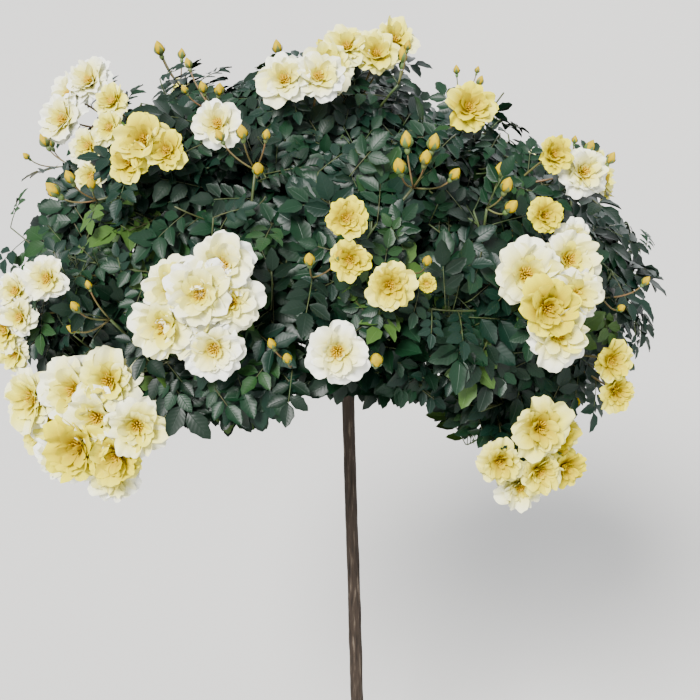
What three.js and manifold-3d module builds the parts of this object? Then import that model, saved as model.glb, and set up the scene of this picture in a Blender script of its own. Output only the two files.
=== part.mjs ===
// A standard rose in full bloom: one straight stem with a root flare and a swollen graft union,
// arching canes that leave the union, and a round head of leafy sprays with trusses of open blooms.
// Units are millimetres, +Z is up, the front faces -Y, and the origin is the middle of the flat
// cut under the stem, on the ground.
import * as THREE from "three";
import { mergeVertices } from "three/addons/utils/BufferGeometryUtils.js";
import Module from "manifold-3d";

const wasm = await Module();
wasm.setup();

// Driving dimensions of the stem and the crown
const STEM_HEIGHT = 900; // ground to the middle of the graft union
const STEM_RADIUS = 8.5;
const STEM_LEAN = -0.026; // sideways drift along X per unit of height
const STEM_SIDES = 12;
const FLARE_RADIUS = 19;
const UNION_RADIUS = 19;
const HEART = new THREE.Vector3(-45, 0, 1018); // middle of the crown
const HEAD_RADII = new THREE.Vector3(425, 405, 292); // how far its leaves reach from there
const SKIRT_HEIGHT = 888; // no leaf hangs lower
const FRONT_LIFT = 74; // how far its skirt is lifted along the front rim
const FRONT_WIDTH = 0.62; // half width of that lift as an angle in radians
const FRONT_RIM = 0.63; // share of the head's radii at which it begins
const FRONT_FULL = 0.96; // and at which it is full
const STEM_LIFT = 0.46; // slope of the skirt where the stem shows, from the line STEM_BAND_START
const STEM_BAND_START = 120;
const STEM_BAND_LENGTH = 300;
const STEM_BAND = new THREE.Vector2(5, 120); // the middle and half width of that band along X
// Bells of bearing (radians) and height (share of the way up) by which the head is lower there
const DENTS = [
  { bearing: 1.55, level: 0.6, width: 0.75, height: 0.26, depth: 0.12 },
  { bearing: -0.35, level: 0.72, width: 0.22, height: 0.16, depth: 0.06 },
  { bearing: -2.05, level: 0.66, width: 0.58, height: 0.28, depth: 0.15 },
];
const UP = new THREE.Vector3(0, 0, 1);
const OPEN_SIDE = new THREE.Vector3(0, -1, 0.35).normalize(); // where the light falls on the plant

// Boughs
const CANE_RADIUS = 5;
const CANE_TIP_RADIUS = 2.6;
const CANE_RISE = 28; // how steeply a cane leaves the union, in degrees
const LEADER_RISE = 84; // and the one that goes to the top
const BOUGH_SIDES = 5;
const BOUGH_STEPS = 5;
const SIDE_BOUGH_SHARE = 0.72; // a side bough's base against its carrier there
const LEADER_PITCH = 60; // a spray above this pitch is on the leader
const ENTRY_SHARE = 0.72; // where a bough enters its spray, as a share of the spray's half size
const FOOT_PULL = 0.42; // how far a bough keeps to its first direction, as a share of its span
const ENTRY_PULL = 0.36; // and to its last one
const BOUGH_ARCH = 0.1; // how far it arches up, as a share of its span
const SIDE_FOLLOWS = 0.45; // how far a side bough follows its carrier at first
const SIDE_RISES = 0.25;
const SIDE_TAPER = 0.8; // its tip against its base, where that is thinner than a cane's tip
const JOINT_GAP = 0.3; // between a limb and what it grows from
const LIMB_ROOM = 0.8; // no leaf or bloom comes nearer to a limb
const CELL_GAP = 0.6; // every spray stays this far from the wall between it and the next

// Twigs
const CORNER = Math.sqrt(0.75); // half the side of a triangle against its corner's radius
const TWIG_RADIUS = 1.7;
const TWIG_TIP_RADIUS = 1.1;
const STEM_STEPS = 3;
const SPRAY_STEM_RADIUS = 2.4;
const SPRAY_STEM_TIP = 1;
const SHOOTS = 5;
const SHOOT_STEPS = 2;
const FIRST_SHOOT = 0.12; // share of a spray's stem below its shoots
const SHOOT_STRETCH = 0.8; // share of it that bears them
const SHOOT_MARGIN = 14; // a shoot's tip stays this far inside its spray's space
const WIDE_OPEN = 1.62; // angle in radians between the lowest shoot and the way its spray faces
const CLOSING = 1.05; // how much of it is lost towards the top
const OPEN_SWAY = 0.3; // how far it varies
const SHOOT_LENGTH = 0.74; // shortest shoot as a share of its spray's half size
const SHOOT_SWAY = 0.16; // how much longer one may be
const SHOOT_BEND = 0.16; // how far it follows the stem at first, as a share of its length
const SHOOT_ARCH = 0.1; // how far it arches up
const GOLDEN_ANGLE = Math.PI * (3 - Math.sqrt(5));

// Leaves, each as large as a whole compound leaf
const LEAVES_PER_SHOOT = 3; // besides the one at its end
const FIRST_LEAF = 0.3; // share of a shoot below its leaves
const LEAF_STRETCH = 0.6; // share of it that bears them
const LEAF_TRIES = 5; // turns that a leaf tries before it is left out
const TRY_TURN = 1.7; // how many golden angles each try turns it by
const LEAF_SHRINK = 0.9; // its size at each try against the last
const LEAF_SMALLEST = 0.86; // scale of the smallest leaf
const LEAF_VARIETY = 0.28;
const LEAF_LENGTH = 98;
const LEAF_WIDTH = 64;
const LEAF_THICKNESS = 2.2;
const LEAF_WIDEST = 0.44; // share of its length at which a leaf is widest
const LEAF_ARCH = 0.06; // how high it stands there, and how far its tip nods, against its length
const LEAF_NOD = 0.04;
const LEAF_SPREAD = 1.05; // angle in radians between a leaf and its shoot
const END_SPREAD = 0.25; // the same for the end leaf, and how much each try adds
const END_SPREAD_STEP = 0.2;
const LEAF_FLATNESS = 0.7; // how far leaves lie back against the crown's face to catch the light
const END_FLATNESS = 0.35;
const LEAF_UPWARDS = 0.4; // how far that face is turned up to the sky
const LEAF_DROOP = 0.12;
const LEAF_SWAY = 0.7;
const PETIOLE_RADIUS = 0.9;

// Blooms
const STALK_RADIUS = 1.9;
const PEDICEL_RADIUS = 1.9; // where it leaves the stalk
const PEDICEL_DEPTH = 78; // how far below the blooms they part
const STALK_SHARE = 0.55; // where a truss's stalk leaves its spray's stem
const STALK_ARCH = 10;
const PETAL_LOBES = 5;
const LOBE_MIDDLE = 0.93; // the rim's radius between lobes and valleys
const LOBE_DEPTH = 0.12;
const NECK_DEPTH = 0.5; // of a bloom, against its radius
const RIM_HEIGHT = 0.04;
const HEART_HEIGHT = 0.34;
const BLOOM_SMALLEST = 0.84; // scale of the smallest bloom of a truss
const BLOOM_VARIETY = 0.32;
const BLOOM_TURN = 0.45; // how far a truss turns towards the open side
const SPIRAL_START = 0.6; // place of the first bloom along the spiral
const TRUSS_ROUNDING = 150; // radius of the dome on which a truss holds its blooms
const ROW_BLOOMS = 4; // a truss of up to this many holds them in a row
const ZIGZAG = 9; // how far they stand off its line

// Fusing
const SLIVER = 0.3; // detail finer than this goes when a spray is fused
const WELD = 2e-3; // corners nearer than this become one

// Each spray has a bearing round the crown (0 in front, 90 to the right), a pitch above the level,
// the reach of its outer face from the heart, its own half size, and the bough it grows from:
// "union", or the name of another spray with the share of that spray's bough where it leaves.
const SPRAYS = [
  { name: "top", bearing: 24, pitch: 68, reach: 286, size: 134, from: "union" },
  { name: "top_left", bearing: -24, pitch: 48, reach: 304, size: 120, from: "top", at: 0.62 },
  { name: "top_right", bearing: 52, pitch: 40, reach: 322, size: 112, from: "top", at: 0.5 },
  { name: "top_back", bearing: 176, pitch: 50, reach: 300, size: 122, from: "top", at: 0.36 },
  { name: "front", bearing: 4, pitch: 17, reach: 366, size: 112, from: "front_left", at: 0.55 },
  { name: "front_low", bearing: 10, pitch: -2, reach: 346, size: 96, from: "front_right", at: 0.42 },
  { name: "front_left", bearing: -19, pitch: 11, reach: 378, size: 118, from: "union" },
  { name: "front_right", bearing: 35, pitch: 10, reach: 384, size: 122, from: "union" },
  { name: "left_upper", bearing: -48, pitch: 33, reach: 350, size: 112, from: "left", at: 0.55 },
  { name: "left_high", bearing: -94, pitch: 32, reach: 366, size: 116, from: "back_left", at: 0.5 },
  { name: "left", bearing: -66, pitch: 3, reach: 408, size: 122, from: "union" },
  { name: "left_low", bearing: -39, pitch: -13, reach: 396, size: 132, from: "left", at: 0.4 },
  { name: "right_upper", bearing: 62, pitch: 27, reach: 366, size: 116, from: "right", at: 0.52 },
  { name: "right", bearing: 82, pitch: 2, reach: 404, size: 122, from: "union" },
  { name: "right_low", bearing: 46, pitch: -16, reach: 386, size: 112, from: "right", at: 0.36 },
  { name: "back_left", bearing: -116, pitch: 4, reach: 404, size: 126, from: "union" },
  { name: "back_right", bearing: 124, pitch: 6, reach: 398, size: 126, from: "union" },
  { name: "back", bearing: 178, pitch: 8, reach: 384, size: 128, from: "union" },
  { name: "back_low_left", bearing: -150, pitch: -10, reach: 374, size: 112, from: "back", at: 0.42 },
  { name: "back_low_right", bearing: 152, pitch: -11, reach: 374, size: 112, from: "back_right", at: 0.45 },
  { name: "back_high_left", bearing: -142, pitch: 33, reach: 350, size: 116, from: "back_left", at: 0.62 },
  { name: "back_high_right", bearing: 118, pitch: 36, reach: 346, size: 116, from: "back_right", at: 0.6 },
];

// Each truss of open blooms has its bearing, pitch and reach from the heart, the number of its
// blooms, how far they spread from its middle, across and upwards, and the middle radius of a bloom.
// Up to four blooms sit in a row whose last one is that far from the middle; more fill an oval.
const TRUSSES = [
  { bearing: 24, pitch: 71, reach: 296, blooms: 4, across: 42, upwards: 9, radius: 22 },
  { bearing: -9, pitch: 58, reach: 313, blooms: 2, across: 18, upwards: 2, radius: 21 },
  { bearing: -84, pitch: 33, reach: 377, blooms: 3, across: 5, upwards: 31, radius: 24 },
  { bearing: -61, pitch: 35, reach: 345, blooms: 4, across: 6, upwards: 46, radius: 16 },
  { bearing: -39, pitch: 35, reach: 360, blooms: 3, across: 20, upwards: 8, radius: 21 },
  { bearing: -34, pitch: 40, reach: 340, blooms: 1, across: 0, upwards: 0, radius: 23 },
  { bearing: -18, pitch: 12, reach: 396, blooms: 7, across: 46, upwards: 52, radius: 28 },
  { bearing: -41, pitch: -12, reach: 411, blooms: 11, across: 92, upwards: 62, radius: 29 },
  { bearing: 2, pitch: 7, reach: 398, blooms: 1, across: 0, upwards: 0, radius: 34 },
  { bearing: 4, pitch: 23, reach: 376, blooms: 2, across: -2, upwards: 20, radius: 20 },
  { bearing: 10, pitch: 16, reach: 387, blooms: 1, across: 0, upwards: 0, radius: 22 },
  { bearing: 40, pitch: 45, reach: 335, blooms: 1, across: 0, upwards: 0, radius: 21 },
  { bearing: 53, pitch: 29, reach: 373, blooms: 2, across: 17, upwards: -12, radius: 20 },
  { bearing: 43, pitch: 20, reach: 380, blooms: 2, across: 15, upwards: -15, radius: 18 },
  { bearing: 36, pitch: 11, reach: 404, blooms: 5, across: 40, upwards: 42, radius: 27 },
  { bearing: 51, pitch: -6, reach: 409, blooms: 2, across: -4, upwards: 19, radius: 20 },
  { bearing: 40, pitch: -19, reach: 388, blooms: 5, across: 56, upwards: 40, radius: 27 },
  { bearing: -57, pitch: 1, reach: 413, blooms: 4, across: 8, upwards: 34, radius: 20 },
  { bearing: -47, pitch: 11, reach: 406, blooms: 1, across: 0, upwards: 0, radius: 21 },
  { bearing: 84, pitch: -12, reach: 388, blooms: 2, across: 20, upwards: 8, radius: 22 },
  { bearing: 112, pitch: 10, reach: 392, blooms: 4, across: 34, upwards: -18, radius: 22 },
  { bearing: 132, pitch: 1, reach: 402, blooms: 5, across: 52, upwards: 40, radius: 25 },
  { bearing: 176, pitch: 10, reach: 394, blooms: 5, across: 54, upwards: 36, radius: 25 },
  { bearing: 172, pitch: 46, reach: 308, blooms: 2, across: 20, upwards: 8, radius: 22 },
  { bearing: -148, pitch: -9, reach: 386, blooms: 4, across: 40, upwards: 12, radius: 23 },
  { bearing: -142, pitch: 21, reach: 374, blooms: 3, across: 28, upwards: -14, radius: 22 },
  { bearing: -122, pitch: 0, reach: 406, blooms: 5, across: 50, upwards: 38, radius: 25 },
];

// A repeatable number from 0 to 1 for the draw that the keys name.
function draw(...keys) {
  const wave = Math.sin(keys.reduce((sum, key, place) => sum + key * (12.9898 + 65.3247 * place), 0.5));
  const scaled = wave * 43758.5453;
  return scaled - Math.floor(scaled);
}

// A unit vector from a bearing round the crown and a pitch above the level, in degrees.
function towards(bearing, pitch) {
  const round = THREE.MathUtils.degToRad(bearing);
  const rise = THREE.MathUtils.degToRad(pitch);
  const level = Math.cos(rise);
  return new THREE.Vector3(Math.sin(round) * level, -Math.cos(round) * level, Math.sin(rise));
}

// Two unit vectors square to a direction: one level, and one that points up along the crown's face.
function facing(direction) {
  const across = new THREE.Vector3().crossVectors(UP, direction);
  if (across.length() < 0.05) across.set(1, 0, 0);
  across.normalize();
  return { across, upwards: new THREE.Vector3().crossVectors(direction, across).normalize() };
}

// The closed solid of a three.js geometry, with corners nearer than the weld made one.
function solidOf(geometry, weld = 1e-4) {
  const bare = geometry.index ? geometry.toNonIndexed() : geometry.clone();
  bare.deleteAttribute("normal");
  bare.deleteAttribute("uv");
  const merged = mergeVertices(bare, weld);
  return new wasm.Manifold(
    new wasm.Mesh({
      numProp: 3,
      vertProperties: new Float32Array(merged.attributes.position.array),
      triVerts: new Uint32Array(merged.index.array),
    }),
  );
}

// The geometry of a solid, for a THREE.Mesh.
function geometryOf(solid) {
  const mesh = solid.getMesh();
  const geometry = new THREE.BufferGeometry();
  geometry.setAttribute("position", new THREE.BufferAttribute(mesh.vertProperties, 3));
  geometry.setIndex(new THREE.BufferAttribute(mesh.triVerts, 1));
  geometry.computeVertexNormals();
  return geometry;
}

// The one main body of a fused solid, with slivers thinner than a hair taken out.
function mainBody(solid) {
  const clean = solidOf(geometryOf(solid.asOriginal().simplify(SLIVER)), WELD);
  return clean.decompose().sort((a, b) => b.volume() - a.volume())[0];
}

// A geometry whose upright axis, from 0 to 1, is bent along a curve, with a radius at each share.
function bentAlong(geometry, curve, radiusAt) {
  const place = geometry.attributes.position;
  const point = new THREE.Vector3();
  const start = curve.getTangent(0);
  const { across: firstSide } = facing(start);
  for (let i = 0; i < place.count; i += 1) {
    point.fromBufferAttribute(place, i);
    const share = THREE.MathUtils.clamp(point.y + 0.5, 0, 1);
    const spread = Math.hypot(point.x, point.z);
    const tangent = curve.getTangent(share);
    const turn = new THREE.Quaternion().setFromUnitVectors(start, tangent);
    const side = firstSide.clone().applyQuaternion(turn);
    const other = new THREE.Vector3().crossVectors(side, tangent);
    const centre = curve.getPoint(share);
    if (spread > 1e-6) {
      centre.addScaledVector(side, (point.x / spread) * radiusAt(share));
      centre.addScaledVector(other, (point.z / spread) * radiusAt(share));
    }
    place.setXYZ(i, centre.x, centre.y, centre.z);
  }
  return geometry;
}

// A tapering limb with flat ends along a curve.
function limb(curve, baseRadius, tipRadius, sides, steps) {
  const rod = new THREE.CylinderGeometry(1, 1, 1, sides, steps);
  return bentAlong(rod, curve, (share) => THREE.MathUtils.lerp(baseRadius, tipRadius, share));
}

// Three corners round a centre: one below, and one on each side.
function ring(centre, side, face, wide, thick) {
  return [
    centre.clone().addScaledVector(face, -thick),
    centre.clone().addScaledVector(side, -wide).addScaledVector(face, 0.5 * thick),
    centre.clone().addScaledVector(side, wide).addScaledVector(face, 0.5 * thick),
  ];
}

// A closed skin over three-cornered rings, with a flat end on the first and a point past the last.
function skinOver(rings, tip) {
  const faces = [0, 2, 1];
  rings.forEach((_, k) => {
    for (let corner = 0; corner < 3; corner += 1) {
      const here = 3 * k + corner;
      const next = 3 * k + ((corner + 1) % 3);
      if (k + 1 < rings.length) faces.push(here, next, next + 3, here, next + 3, here + 3);
      else faces.push(here, next, 3 * rings.length);
    }
  });
  const skin = new THREE.BufferGeometry().setFromPoints([...rings.flat(), tip]);
  skin.setIndex(faces);
  return skin;
}

// The rings of a thin twig of three sides along a curve.
function twigRings(curve, baseRadius, tipRadius, steps) {
  return Array.from({ length: steps + 1 }, (_, k) => {
    const along = curve.getTangent(k / steps);
    const { across, upwards } = facing(along);
    const radius = THREE.MathUtils.lerp(baseRadius, tipRadius, k / steps);
    return ring(curve.getPoint(k / steps), across.negate(), upwards, radius * CORNER, radius);
  });
}

// A thin twig of three sides that ends in a point just past its curve.
function twig(curve, baseRadius, tipRadius, steps) {
  const tip = curve.getPoint(1).addScaledVector(curve.getTangent(1), tipRadius);
  return skinOver(twigRings(curve, baseRadius, tipRadius, steps), tip);
}

// A straight spike of three sides from its foot to its point.
function spike(foot, point, radius) {
  const { across, upwards } = facing(point.clone().sub(foot).normalize());
  return skinOver([ring(foot, across.negate(), upwards, radius * CORNER, radius)], point);
}

// The point at a share of a limb that is drawn in straight steps along a curve.
function pointOn(curve, steps, share) {
  const step = Math.min(Math.floor(share * steps), steps - 1);
  return curve.getPoint(step / steps).lerp(curve.getPoint((step + 1) / steps), share * steps - step);
}

// Where a leaf lies: its base, the way it points and its upper side.
function leafPlace(base, direction, light, scale) {
  const side = new THREE.Vector3().crossVectors(direction, light).normalize();
  const face = new THREE.Vector3().crossVectors(side, direction).normalize();
  const length = LEAF_LENGTH * scale;
  const widest = base.clone().addScaledVector(direction, LEAF_WIDEST * length);
  widest.addScaledVector(face, LEAF_ARCH * length);
  const tip = base.clone().addScaledVector(direction, length).addScaledVector(face, -LEAF_NOD * length);
  const middle = ring(widest, side, face, 0.5 * LEAF_WIDTH * scale, 0.5 * LEAF_THICKNESS);
  return { base, side, face, middle, tip };
}

// A leaf alone: a petiole that is sunk in its twig, the widest part of the blade, and its tip.
function leaf({ base, side, face, middle, tip }) {
  return skinOver([ring(base, side, face, PETIOLE_RADIUS * CORNER, PETIOLE_RADIUS), middle], tip);
}

// A shoot that runs out into its end leaf.
function leafyShoot(curve, endLeaf) {
  const rings = twigRings(curve, TWIG_RADIUS, TWIG_TIP_RADIUS, SHOOT_STEPS);
  return skinOver([...rings, endLeaf.middle], endLeaf.tip);
}

// An open bloom: a five-lobed cup that narrows to its neck, with a mound of inner petals.
function bloom(centre, direction, radius) {
  const profile = [
    new THREE.Vector2(0, -NECK_DEPTH),
    new THREE.Vector2(1, RIM_HEIGHT),
    new THREE.Vector2(0, HEART_HEIGHT),
  ];
  const cup = new THREE.LatheGeometry(profile, 2 * PETAL_LOBES);
  const place = cup.attributes.position;
  for (let i = 0; i < place.count; i += 1) {
    const round = Math.atan2(place.getX(i), place.getZ(i));
    const wide = Math.hypot(place.getX(i), place.getZ(i)) > 0.9;
    const lobe = wide ? LOBE_MIDDLE + LOBE_DEPTH * Math.cos(PETAL_LOBES * round) : 1;
    place.setXYZ(i, place.getX(i) * lobe, place.getY(i), place.getZ(i) * lobe);
  }
  cup.scale(radius, radius, radius);
  cup.applyQuaternion(new THREE.Quaternion().setFromUnitVectors(new THREE.Vector3(0, 1, 0), direction));
  cup.translate(centre.x, centre.y, centre.z);
  return cup;
}

// The stem from its flat cut to the graft union, with its flare, taper and lean, and its skin
// moved out by a margin.
function stemGeometry(margin = 0) {
  const profile = [
    [FLARE_RADIUS, 0],
    [0.84 * FLARE_RADIUS, 14],
    [0.64 * FLARE_RADIUS, 42],
    [1.18 * STEM_RADIUS, 110],
    [1.1 * STEM_RADIUS, 300],
    [1.04 * STEM_RADIUS, 560],
    [STEM_RADIUS, STEM_HEIGHT - 80],
    [1.3 * STEM_RADIUS, STEM_HEIGHT - 42],
    [0.9 * UNION_RADIUS, STEM_HEIGHT - 16],
    [UNION_RADIUS, STEM_HEIGHT],
    [0.86 * UNION_RADIUS, STEM_HEIGHT + 11],
    [0.5 * UNION_RADIUS, STEM_HEIGHT + 18],
  ].map(([radius, height]) => new THREE.Vector2(radius + margin, height));
  const foot = new THREE.Vector2(0, 0);
  const crest = new THREE.Vector2(0, STEM_HEIGHT + 20 + margin);
  const stem = new THREE.LatheGeometry([foot, ...profile, crest], STEM_SIDES);
  stem.rotateX(Math.PI / 2);
  const place = stem.attributes.position;
  for (let i = 0; i < place.count; i += 1) {
    place.setX(i, place.getX(i) + STEM_LEAN * place.getZ(i));
  }
  return stem;
}

// Where each spray and its bough go
const UNION = new THREE.Vector3(STEM_LEAN * STEM_HEIGHT, 0, STEM_HEIGHT);
const sprayNamed = new Map();
SPRAYS.forEach((spray, index) => {
  const outward = towards(spray.bearing, spray.pitch);
  const centre = HEART.clone().addScaledVector(outward, spray.reach - spray.size);
  const inward = UNION.clone().sub(centre).normalize();
  const entry = centre.clone().addScaledVector(inward, ENTRY_SHARE * spray.size);
  sprayNamed.set(spray.name, { ...spray, index, outward, centre, entry });
});

// A bough arches from its foot up and out, and comes into its spray along the spray's own line.
function boughCurve(foot, footDirection, spray) {
  const arrival = spray.centre.clone().sub(spray.entry).normalize();
  const span = foot.distanceTo(spray.entry);
  return new THREE.CubicBezierCurve3(
    foot,
    foot.clone().addScaledVector(footDirection, FOOT_PULL * span),
    spray.entry.clone().addScaledVector(arrival, -ENTRY_PULL * span).addScaledVector(UP, BOUGH_ARCH * span),
    spray.entry,
  );
}

const boughs = new Map();

// A cane that leaves the graft union.
function growCane(spray) {
  const start = towards(spray.bearing, spray.pitch > LEADER_PITCH ? LEADER_RISE : CANE_RISE);
  const foot = UNION.clone().addScaledVector(start, 0.5 * UNION_RADIUS);
  return { curve: boughCurve(foot, start, spray), base: CANE_RADIUS, tip: CANE_TIP_RADIUS };
}

// A bough that leaves another one part of the way along.
function growSideBough(spray) {
  const parent = boughs.get(spray.from);
  const foot = parent.curve.getPoint(spray.at);
  const along = parent.curve.getTangent(spray.at);
  const outward = spray.entry.clone().sub(foot).normalize();
  const start = along.multiplyScalar(SIDE_FOLLOWS).add(outward).addScaledVector(UP, SIDE_RISES).normalize();
  const base = SIDE_BOUGH_SHARE * THREE.MathUtils.lerp(parent.base, parent.tip, spray.at);
  return { curve: boughCurve(foot, start, spray), base, tip: Math.min(CANE_TIP_RADIUS, SIDE_TAPER * base) };
}

[...sprayNamed.values()].filter((spray) => spray.from === "union").forEach((spray) => {
  boughs.set(spray.name, growCane(spray));
});
[...sprayNamed.values()].filter((spray) => spray.from !== "union").forEach((spray) => {
  boughs.set(spray.name, growSideBough(spray));
});

// The solid of a bough, with its skin moved out by a margin.
function boughSkin({ curve, base, tip }, margin = 0) {
  return solidOf(limb(curve, base + margin, tip + margin, BOUGH_SIDES, BOUGH_STEPS));
}

// A bough cut clear of the stem, or of the bough that carries it.
function boughSolid(bough, { from }) {
  const onStem = from === "union";
  const carrier = onStem ? solidOf(stemGeometry(JOINT_GAP)) : boughSkin(boughs.get(from), JOINT_GAP);
  return mainBody(boughSkin(bough).subtract(carrier));
}

// The limbs with a little room round them, which no twig, leaf or bloom may touch.
const limbRoom = wasm.Manifold.union([
  solidOf(stemGeometry()),
  ...[...boughs.values()].map((bough) => boughSkin(bough, LIMB_ROOM)),
]);

// How far a line from a spray's middle runs before it meets the wall of the spray's space.
function roomAlong(spray, direction) {
  let room = Infinity;
  for (const other of sprayNamed.values()) {
    const apart = other.centre.clone().sub(spray.centre);
    const slope = apart.dot(direction);
    if (other === spray || slope <= 0) continue;
    const wall = 0.5 * (apart.lengthSq() + spray.size ** 2 - other.size ** 2);
    room = Math.min(room, wall / slope);
  }
  return room;
}

// True where every corner of a geometry lies in a spray's own share of the crown.
function keepsToItsSpace(geometry, spray) {
  const place = geometry.attributes.position;
  const corner = new THREE.Vector3();
  for (let i = 0; i < place.count; i += 1) {
    corner.fromBufferAttribute(place, i);
    const own = corner.distanceToSquared(spray.centre) - spray.size ** 2;
    for (const other of sprayNamed.values()) {
      if (other === spray) continue;
      const theirs = corner.distanceToSquared(other.centre) - other.size ** 2;
      if (theirs - own < 2 * CELL_GAP * spray.centre.distanceTo(other.centre)) return false;
    }
  }
  return true;
}

// The spray whose share of the crown holds a point.
function ownerOf(point) {
  const shareOf = (spray) => point.distanceToSquared(spray.centre) - spray.size ** 2;
  return [...sprayNamed.values()].reduce((best, spray) => (shareOf(spray) < shareOf(best) ? spray : best));
}

// The height of the head's skirt at a point: lifted along the front rim, and before the stem.
function skirtAt(point, turn, far) {
  const outer = THREE.MathUtils.clamp((far - FRONT_RIM) / (FRONT_FULL - FRONT_RIM), 0, 1);
  const rim = Math.exp(-((turn / FRONT_WIDTH) ** 2)) * outer;
  const band = Math.exp(-(((point.x - STEM_BAND.x) / STEM_BAND.y) ** 4));
  const slope = STEM_LIFT * band * THREE.MathUtils.clamp(-point.y - STEM_BAND_START, 0, STEM_BAND_LENGTH);
  return SKIRT_HEIGHT + Math.max(FRONT_LIFT * rim, slope);
}

// True where a leaf's tip is inside the crown's round head and above its skirt.
function inHead(point) {
  const apart = point.clone().sub(HEART).divide(HEAD_RADII);
  const far = apart.length();
  const turn = Math.atan2(apart.x, -apart.y);
  const dent = DENTS.reduce((sum, { bearing, level, width, height, depth }) => {
    const beside = (turn - bearing) / width;
    const above = (apart.z / far - level) / height;
    return sum + depth * Math.exp(-(beside ** 2) - above ** 2);
  }, 0);
  return far < 1 - dent && point.z > skirtAt(point, turn, far);
}

// A piece as a solid, or null where it leaves the spray's space or touches a limb.
function ifItFits(geometry, spray) {
  if (!keepsToItsSpace(geometry, spray)) return null;
  const solid = solidOf(geometry);
  return limbRoom.intersect(solid).isEmpty() ? solid : null;
}

// The line of a spray's own stem, from just past its bough's tip out to its face.
function sprayStem(spray) {
  const arrival = boughs.get(spray.name).curve.getTangent(1);
  const foot = spray.entry.clone().addScaledVector(arrival, JOINT_GAP);
  const tip = spray.centre.clone().addScaledVector(spray.outward, ENTRY_SHARE * spray.size);
  const reach = foot.distanceTo(tip);
  return new THREE.QuadraticBezierCurve3(foot, foot.clone().addScaledVector(arrival, 0.5 * reach), tip);
}

// The lines of a spray's shoots: each leaves the stem and arcs to its own aim on the spray's face.
function shootCurves(spray, stem) {
  const { across, upwards } = facing(spray.outward);
  return Array.from({ length: SHOOTS }, (_, i) => {
    const share = FIRST_SHOOT + (SHOOT_STRETCH * (i + 0.5)) / SHOOTS;
    const turn = i * GOLDEN_ANGLE + 2 * Math.PI * draw(spray.index, 1);
    const open = WIDE_OPEN - CLOSING * share + OPEN_SWAY * (draw(spray.index, i, 2) - 0.5);
    const aim = spray.outward.clone().multiplyScalar(Math.cos(open));
    aim.addScaledVector(across, Math.sin(open) * Math.cos(turn));
    aim.addScaledVector(upwards, Math.sin(open) * Math.sin(turn));
    const wish = spray.size * (SHOOT_LENGTH + SHOOT_SWAY * draw(spray.index, i, 3));
    const length = Math.min(wish, roomAlong(spray, aim) - SHOOT_MARGIN);
    const foot = pointOn(stem, STEM_STEPS, share);
    const tip = spray.centre.clone().addScaledVector(aim, length);
    const bend = foot.clone().lerp(tip, 0.5).addScaledVector(stem.getTangent(share), SHOOT_BEND * length);
    bend.addScaledVector(UP, SHOOT_ARCH * length);
    return new THREE.QuadraticBezierCurve3(foot, bend, tip);
  });
}

// The place of one leaf of a shoot, at the golden angle round it from the last; each try turns it
// further and makes it smaller. The end leaf carries the shoot on.
function leafOn(shoot, spray, number, j, attempt) {
  const last = j === LEAVES_PER_SHOOT;
  const share = last ? 1 : FIRST_LEAF + (LEAF_STRETCH * j) / LEAVES_PER_SHOOT;
  const base = pointOn(shoot, SHOOT_STEPS, share);
  const along = shoot.getTangent(share);
  const { across, upwards } = facing(along);
  const turn = (j + TRY_TURN * attempt) * GOLDEN_ANGLE + 2 * Math.PI * draw(spray.index, number, j, 4);
  const spread = last ? END_SPREAD + END_SPREAD_STEP * attempt : LEAF_SPREAD;
  const direction = along.clone().multiplyScalar(Math.cos(spread));
  direction.addScaledVector(across, Math.sin(spread) * Math.cos(turn));
  direction.addScaledVector(upwards, Math.sin(spread) * Math.sin(turn));
  const light = base.clone().sub(HEART).normalize().addScaledVector(UP, LEAF_UPWARDS).normalize();
  const flatness = last ? END_FLATNESS : LEAF_FLATNESS;
  direction.addScaledVector(light, -flatness * direction.dot(light));
  direction.addScaledVector(UP, -LEAF_DROOP).normalize();
  light.x += LEAF_SWAY * (draw(spray.index, number, j, 5) - 0.5);
  light.y += LEAF_SWAY * (draw(spray.index, number, j, 6) - 0.5);
  const variety = LEAF_SMALLEST + LEAF_VARIETY * draw(spray.index, number, j, 7);
  const scale = variety * LEAF_SHRINK ** attempt;
  return leafPlace(base, direction, light, scale);
}

// A shoot with its end leaf, or bare where the leaf finds no room, or null.
function shootWithEnd(curve, spray, number) {
  for (let attempt = 0; attempt < LEAF_TRIES; attempt += 1) {
    const end = leafOn(curve, spray, number, LEAVES_PER_SHOOT, attempt);
    const solid = inHead(end.tip) ? ifItFits(leafyShoot(curve, end), spray) : null;
    if (solid) return solid;
  }
  return ifItFits(twig(curve, TWIG_RADIUS, TWIG_TIP_RADIUS, SHOOT_STEPS), spray);
}

// The leaves of one shoot that find room among the pieces that are there already.
function leavesOn(shoot, spray, number, taken) {
  const leaves = [];
  for (let j = 0; j < LEAVES_PER_SHOOT; j += 1) {
    for (let attempt = 0; attempt < LEAF_TRIES; attempt += 1) {
      const place = leafOn(shoot, spray, number, j, attempt);
      const blade = inHead(place.tip) ? ifItFits(leaf(place), spray) : null;
      if (!blade || [...taken, ...leaves].some((piece) => !piece.intersect(blade).isEmpty())) continue;
      leaves.push(blade);
      break;
    }
  }
  return leaves;
}

// The way a truss faces: outward, and turned some way towards the open side if it can be.
function trussFace(outward) {
  return outward.clone().addScaledVector(OPEN_SIDE, BLOOM_TURN * (1 + outward.dot(OPEN_SIDE))).normalize();
}

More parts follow.
